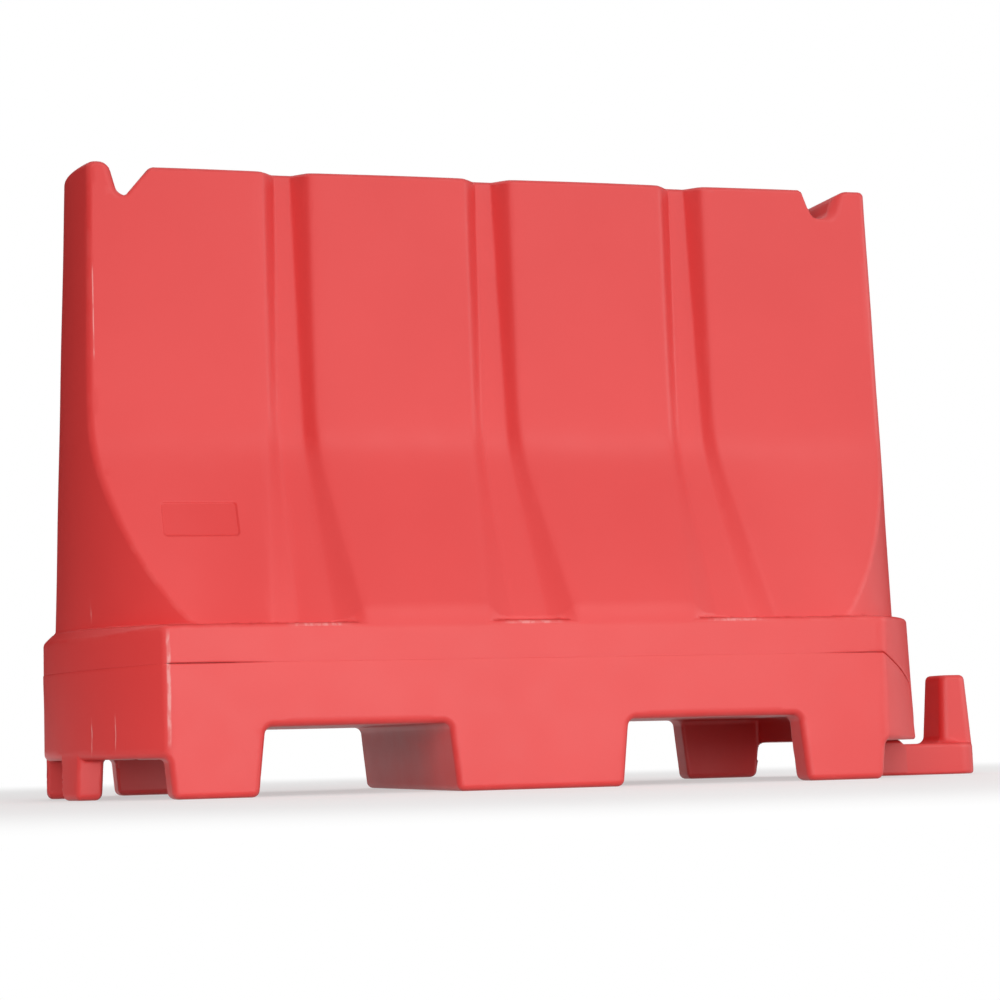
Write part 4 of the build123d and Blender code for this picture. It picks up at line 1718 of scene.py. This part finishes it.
    def build(self, plastic: Material, rubber: Material) -> None:
        """Makes the ring, the seal, the cap, its ribs and the threads.

        Args:
            plastic: finish of the ring and the cap.
            rubber: finish of the seal.
        """
        wide, thick = self.flange
        outer, deep = self.bore + self.bore_wall, -self.bore_depth
        section = ((self.bore, deep), (outer, deep), (outer, 0), (wide, 0), (wide, thick), (self.bore, thick))
        ring = ring_mesh(self.ring, section, self.ring_soft)
        self.put(self.ring + "_body", ring, "barrier", plastic, self.ring)
        label = self.ring + "_thread"
        off, width = self.bore_thread
        run = (deep + self.bore_ends[0], thick - self.bore_ends[1])
        self.put(label, self.thread_mesh(label, self.bore + off, width, run, plastic), "barrier", plastic)
        low, high, edge = thick + self.seal_play, self.seat, self.seal[0]
        flat = ((self.bore, low), (edge, low), (edge, high), (self.bore, high))
        seal = self.name + "_gasket"
        body = self.name + "_seal"
        self.put(seal + "_body", ring_mesh(seal, flat, self.seal_soft), body, rubber, seal)
        self.put(self.cap + "_body", self.cap_mesh(), self.cap, plastic, self.cap)
        self.put(self.cap + "_ribs", self.rib_mesh(plastic), self.cap, plastic)
        label = self.cap + "_thread"
        off, width = self.stem_thread
        run = (self.seat - self.stem_length + self.stem_ends[0], self.seat - self.stem_ends[1])
        self.put(label, self.thread_mesh(label, self.bore - off, width, run, plastic), self.cap, plastic)


def filler(wall: WallForm) -> ScrewFitting:
    """The filler in the well of the wall's top."""
    return ScrewFitting(
        name="filler", cap="filler_cap", ring="filler_neck", turn=Turn.UP,
        place=(wall.well_place, 0, wall.top - wall.well_depth), flange=(50, 4),
        bore=31, bore_wall=5, bore_depth=30, seal=(44, 3), head=(46, 7), grip=(74, 12, 8),
        stem_wall=4, stem_length=26, ribs=48, grid=1.5,
    )


def drain(base: BaseForm) -> ScrewFitting:
    """The drain in the back of the base's central foot."""
    return ScrewFitting(
        name="drain", cap="drain_plug", ring="drain_bush", turn=Turn.BACK,
        place=(0, base.drain_seat, base.drain_height), flange=(29, 3),
        bore=15, bore_wall=4, bore_depth=24, seal=(24, 2.5), head=(25, 5), grip=(40, 8, 5),
        stem_wall=4, stem_length=20, ribs=32, grid=1.0,
    )


@dataclass(frozen=True)
class Lamp:
    """A soft rectangular lamp.

    Attributes:
        name: the lamp's name.
        place: where it stands, in metres.
        aim: the point that it faces.
        size: its width and height.
        power: its power in watts.
        mirrored: whether it shows in gloss.
    """

    name: str
    place: Triple
    aim: Triple
    size: Pair
    power: float
    mirrored: bool = True

    def build(self) -> None:
        """Puts the lamp into the scene."""
        data = bpy.data.lights.new(self.name, "AREA")
        data.shape, data.energy = "RECTANGLE", self.power
        data.size, data.size_y = self.size
        lamp = bpy.data.objects.new(self.name, data)
        lamp.location = self.place
        lamp.rotation_euler = (Vector(self.aim) - Vector(self.place)).to_track_quat("-Z", "Y").to_euler()
        lamp.visible_camera, lamp.visible_glossy = False, self.mirrored
        bpy.context.scene.collection.objects.link(lamp)


@dataclass
class Studio:
    """White floor, soft light and the camera of the picture. Metres and degrees."""

    lens: float = 98.14
    sensor: float = 36.0
    clip: Pair = (0.05, 100.0)
    yaw: float = -16.388
    pitch: float = 5.118
    roll: float = -1.451
    eye: Triple = (-1.020764, -3.559769, 0.057463)
    floor_reach: float = 30.0
    floor_tones: tuple[Colour, Colour] = ((0.86, 0.86, 0.86, 1), (0.88, 0.88, 0.88, 1))
    shadow: Pair = (0.9, 2.0)  # distances between which the floor's shadow fades into plain white
    shadow_white: float = 0.5  # share of plain white near the barrier
    fill: float = 0.405  # light from all round
    card_turn: Pair = (20.0, 248.0)
    card_reach: float = 2.7
    card_place: float = -0.2
    card_height: float = 2.4
    card_parts: int = 16
    card_tones: tuple[Colour, Colour] = ((0.02, 0.02, 0.02, 1), (0.03, 0.03, 0.03, 1))
    lamps: tuple[Lamp, ...] = (
        Lamp("left_front", (-2.0, -2.8, 0.9), (-0.2, 0, 0.35), (1.4, 1.4), 25.0, mirrored=False),
        Lamp("left_low", (-2.6, -1.4, 0.25), (-0.4, 0, 0.2), (1.0, 0.45), 11.0, mirrored=False),
        Lamp("far_left", (-3.0, 0.2, 0.5), (-0.5, 0, 0.3), (1.2, 0.9), 8.0, mirrored=False),
        Lamp("right", (2.9, -1.5, 0.9), (0.2, 0, 0.4), (1.6, 1.6), 20.0),
        Lamp("low", (-0.1, -2.2, 0.2), (-0.1, 0, 0.18), (3.0, 0.38), 20.0),
        Lamp("top_front", (0.9, -2.4, 2.3), (0, 0, 0.4), (2.2, 1.2), 17.0),
        Lamp("back", (0.5, 3.2, 2.4), (0, 0, 0.4), (2.5, 1.5), 60.0, mirrored=False),
    )

    def camera(self) -> None:
        """Makes the camera."""
        yaw, pitch, roll = (math.radians(a) for a in (self.yaw, self.pitch, self.roll))
        right = Vector((math.cos(yaw), math.sin(yaw), 0))
        level = Vector((-math.sin(yaw), math.cos(yaw), 0))
        ahead = math.cos(pitch) * level + math.sin(pitch) * Vector((0, 0, 1))
        up = math.cos(pitch) * Vector((0, 0, 1)) - math.sin(pitch) * level
        side = math.cos(roll) * right + math.sin(roll) * up
        top = math.cos(roll) * up - math.sin(roll) * right
        data = bpy.data.cameras.new("camera")
        data.lens, data.sensor_width = self.lens, self.sensor
        data.clip_start, data.clip_end = self.clip
        camera = bpy.data.objects.new("camera", data)
        camera.matrix_world = Matrix.Translation(self.eye) @ Matrix((side, top, -ahead)).transposed().to_4x4()
        bpy.context.scene.collection.objects.link(camera)
        bpy.context.scene.camera = camera

    def floor(self) -> None:
        """Makes the white floor, which keeps a soft shadow."""
        reach = self.floor_reach
        corners = np.array([(-reach, -reach, 0), (reach, -reach, 0), (reach, reach, 0), (-reach, reach, 0)])
        mesh = plain_mesh("floor", corners, np.array([(0, 1, 2, 3)]))
        graph = Graph("floor_white")
        tone = graph.span(graph.noise(0.8, 2.0), 0.3, 0.7)
        white = graph.mix(tone, *self.floor_tones)
        diffuse = graph.add("ShaderNodeBsdfDiffuse", {"Color": white})
        glow = graph.add("ShaderNodeEmission", {"Color": (1, 1, 1, 1), "Strength": graph.seen()})
        length = graph.add("ShaderNodeVectorMath", {0: graph.place}, operation="LENGTH").outputs["Value"]
        away = graph.span(length, *self.shadow, self.shadow_white, 1.0)
        mixed = graph.add("ShaderNodeMixShader", {0: away, 1: diffuse.outputs[0], 2: glow.outputs[0]})
        mesh.materials.append(graph.surface(mixed))
        floor = bpy.data.objects.new("floor", mesh)
        bpy.context.scene.collection.objects.link(floor)

    def world(self) -> None:
        """White all round for what is seen directly or mirrored, softer for the light it gives."""
        world = bpy.data.worlds.new("studio")
        world.use_nodes = True
        tree = Tree(world.node_tree)
        tree.nodes.clear()
        level = tree.add("ShaderNodeMapRange", {"Value": tree.seen(), "To Min": self.fill, "To Max": 1.0})
        back = tree.add("ShaderNodeBackground", {"Color": (1, 1, 1, 1), "Strength": level.outputs[0]})
        tree.add("ShaderNodeOutputWorld", {"Surface": back.outputs[0]})
        bpy.context.scene.world = world

    def card(self) -> None:
        """Makes the dark card round the left and the back, unseen by the camera and without a shadow."""
        start, end = (math.radians(a) for a in self.card_turn)
        places = []
        for turn in np.linspace(start, end, self.card_parts + 1):
            x, y = self.card_reach * math.cos(turn) + self.card_place, self.card_reach * math.sin(turn)
            places += [(x, y, 0.0), (x, y, self.card_height)]
        quads = [(2 * n, 2 * n + 2, 2 * n + 3, 2 * n + 1) for n in range(self.card_parts)]
        mesh = plain_mesh("card", np.array(places), np.array(quads))
        graph = Graph("card_black")
        tone = graph.span(graph.noise(6.0, 2.0), 0.3, 0.7)
        felt = graph.mix(tone, *self.card_tones)
        mesh.materials.append(graph.surface(graph.add("ShaderNodeBsdfDiffuse", {"Color": felt})))
        card = bpy.data.objects.new("card", mesh)
        card.visible_camera = card.visible_shadow = card.visible_transmission = False
        bpy.context.scene.collection.objects.link(card)

    def build(self) -> None:
        """Sets up the whole studio."""
        bpy.context.scene.view_settings.view_transform = "Standard"
        self.camera()
        self.floor()
        self.world()
        self.card()
        for lamp in self.lamps:
            lamp.build()


def scuffs_and_painted_highlights(wall: WallForm) -> tuple[ScuffAndHighlight, ...]:
    """The pale marks: the base's rubbed corner, a painted highlight streak down the left end's upright edge,
    hairlines on the left end, and painted highlights on the ledge rims at the flutes' feet.

    Args:
        wall: the wall with the flutes.

    Returns:
        The marks.
    """
    flutes = ((wall.flute_shift + n * wall.flute_pitch) * MM for n in (-1, 0, 1))
    return (
        ScuffAndHighlight(-0.4735, -0.2485, 0.06, 0.21, 0.0032, 0.003, 0.46),
        # painted highlight streak down the rounded upright edge of the left end
        ScuffAndHighlight(-0.539, -0.0936, 0.556, 0.69, 0.0011, 0.001, 0.40),
        ScuffAndHighlight(-0.555, -0.154, 0.05, 0.107, 0.0006, 0.004, 0.45),
        ScuffAndHighlight(-0.531, -0.192, 0.055, 0.112, 0.0006, 0.003, 0.40),
        ScuffAndHighlight(-0.549, -0.113, 0.217, 0.257, 0.0006, 0.003, 0.35),
        # painted highlights on the ledge's rounded rim at each flute's foot
        *(ScuffAndHighlight(x, -0.2465, 0.2085, 0.2150, 0.046, 0.0, 0.34, 0.0024) for x in flutes),
    )


def main() -> None:
    """Builds the barrier and its studio."""
    logging.basicConfig(level=logging.INFO, format="%(name)s %(message)s")
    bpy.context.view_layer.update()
    shells = Shells()
    red = MouldedRed(scuffs_and_highlights=scuffs_and_painted_highlights(shells.wall)).material("red_polyethylene")
    black = BlackMoulding().material("black_plastic")
    rubber = SealRubber().material("black_rubber")
    shells.build(red)
    HookForm().build(red)
    for fitting in (filler(shells.wall), drain(shells.base)):
        fitting.build(black, rubber)
    Studio().build()


if __name__ == "__main__":
    main()
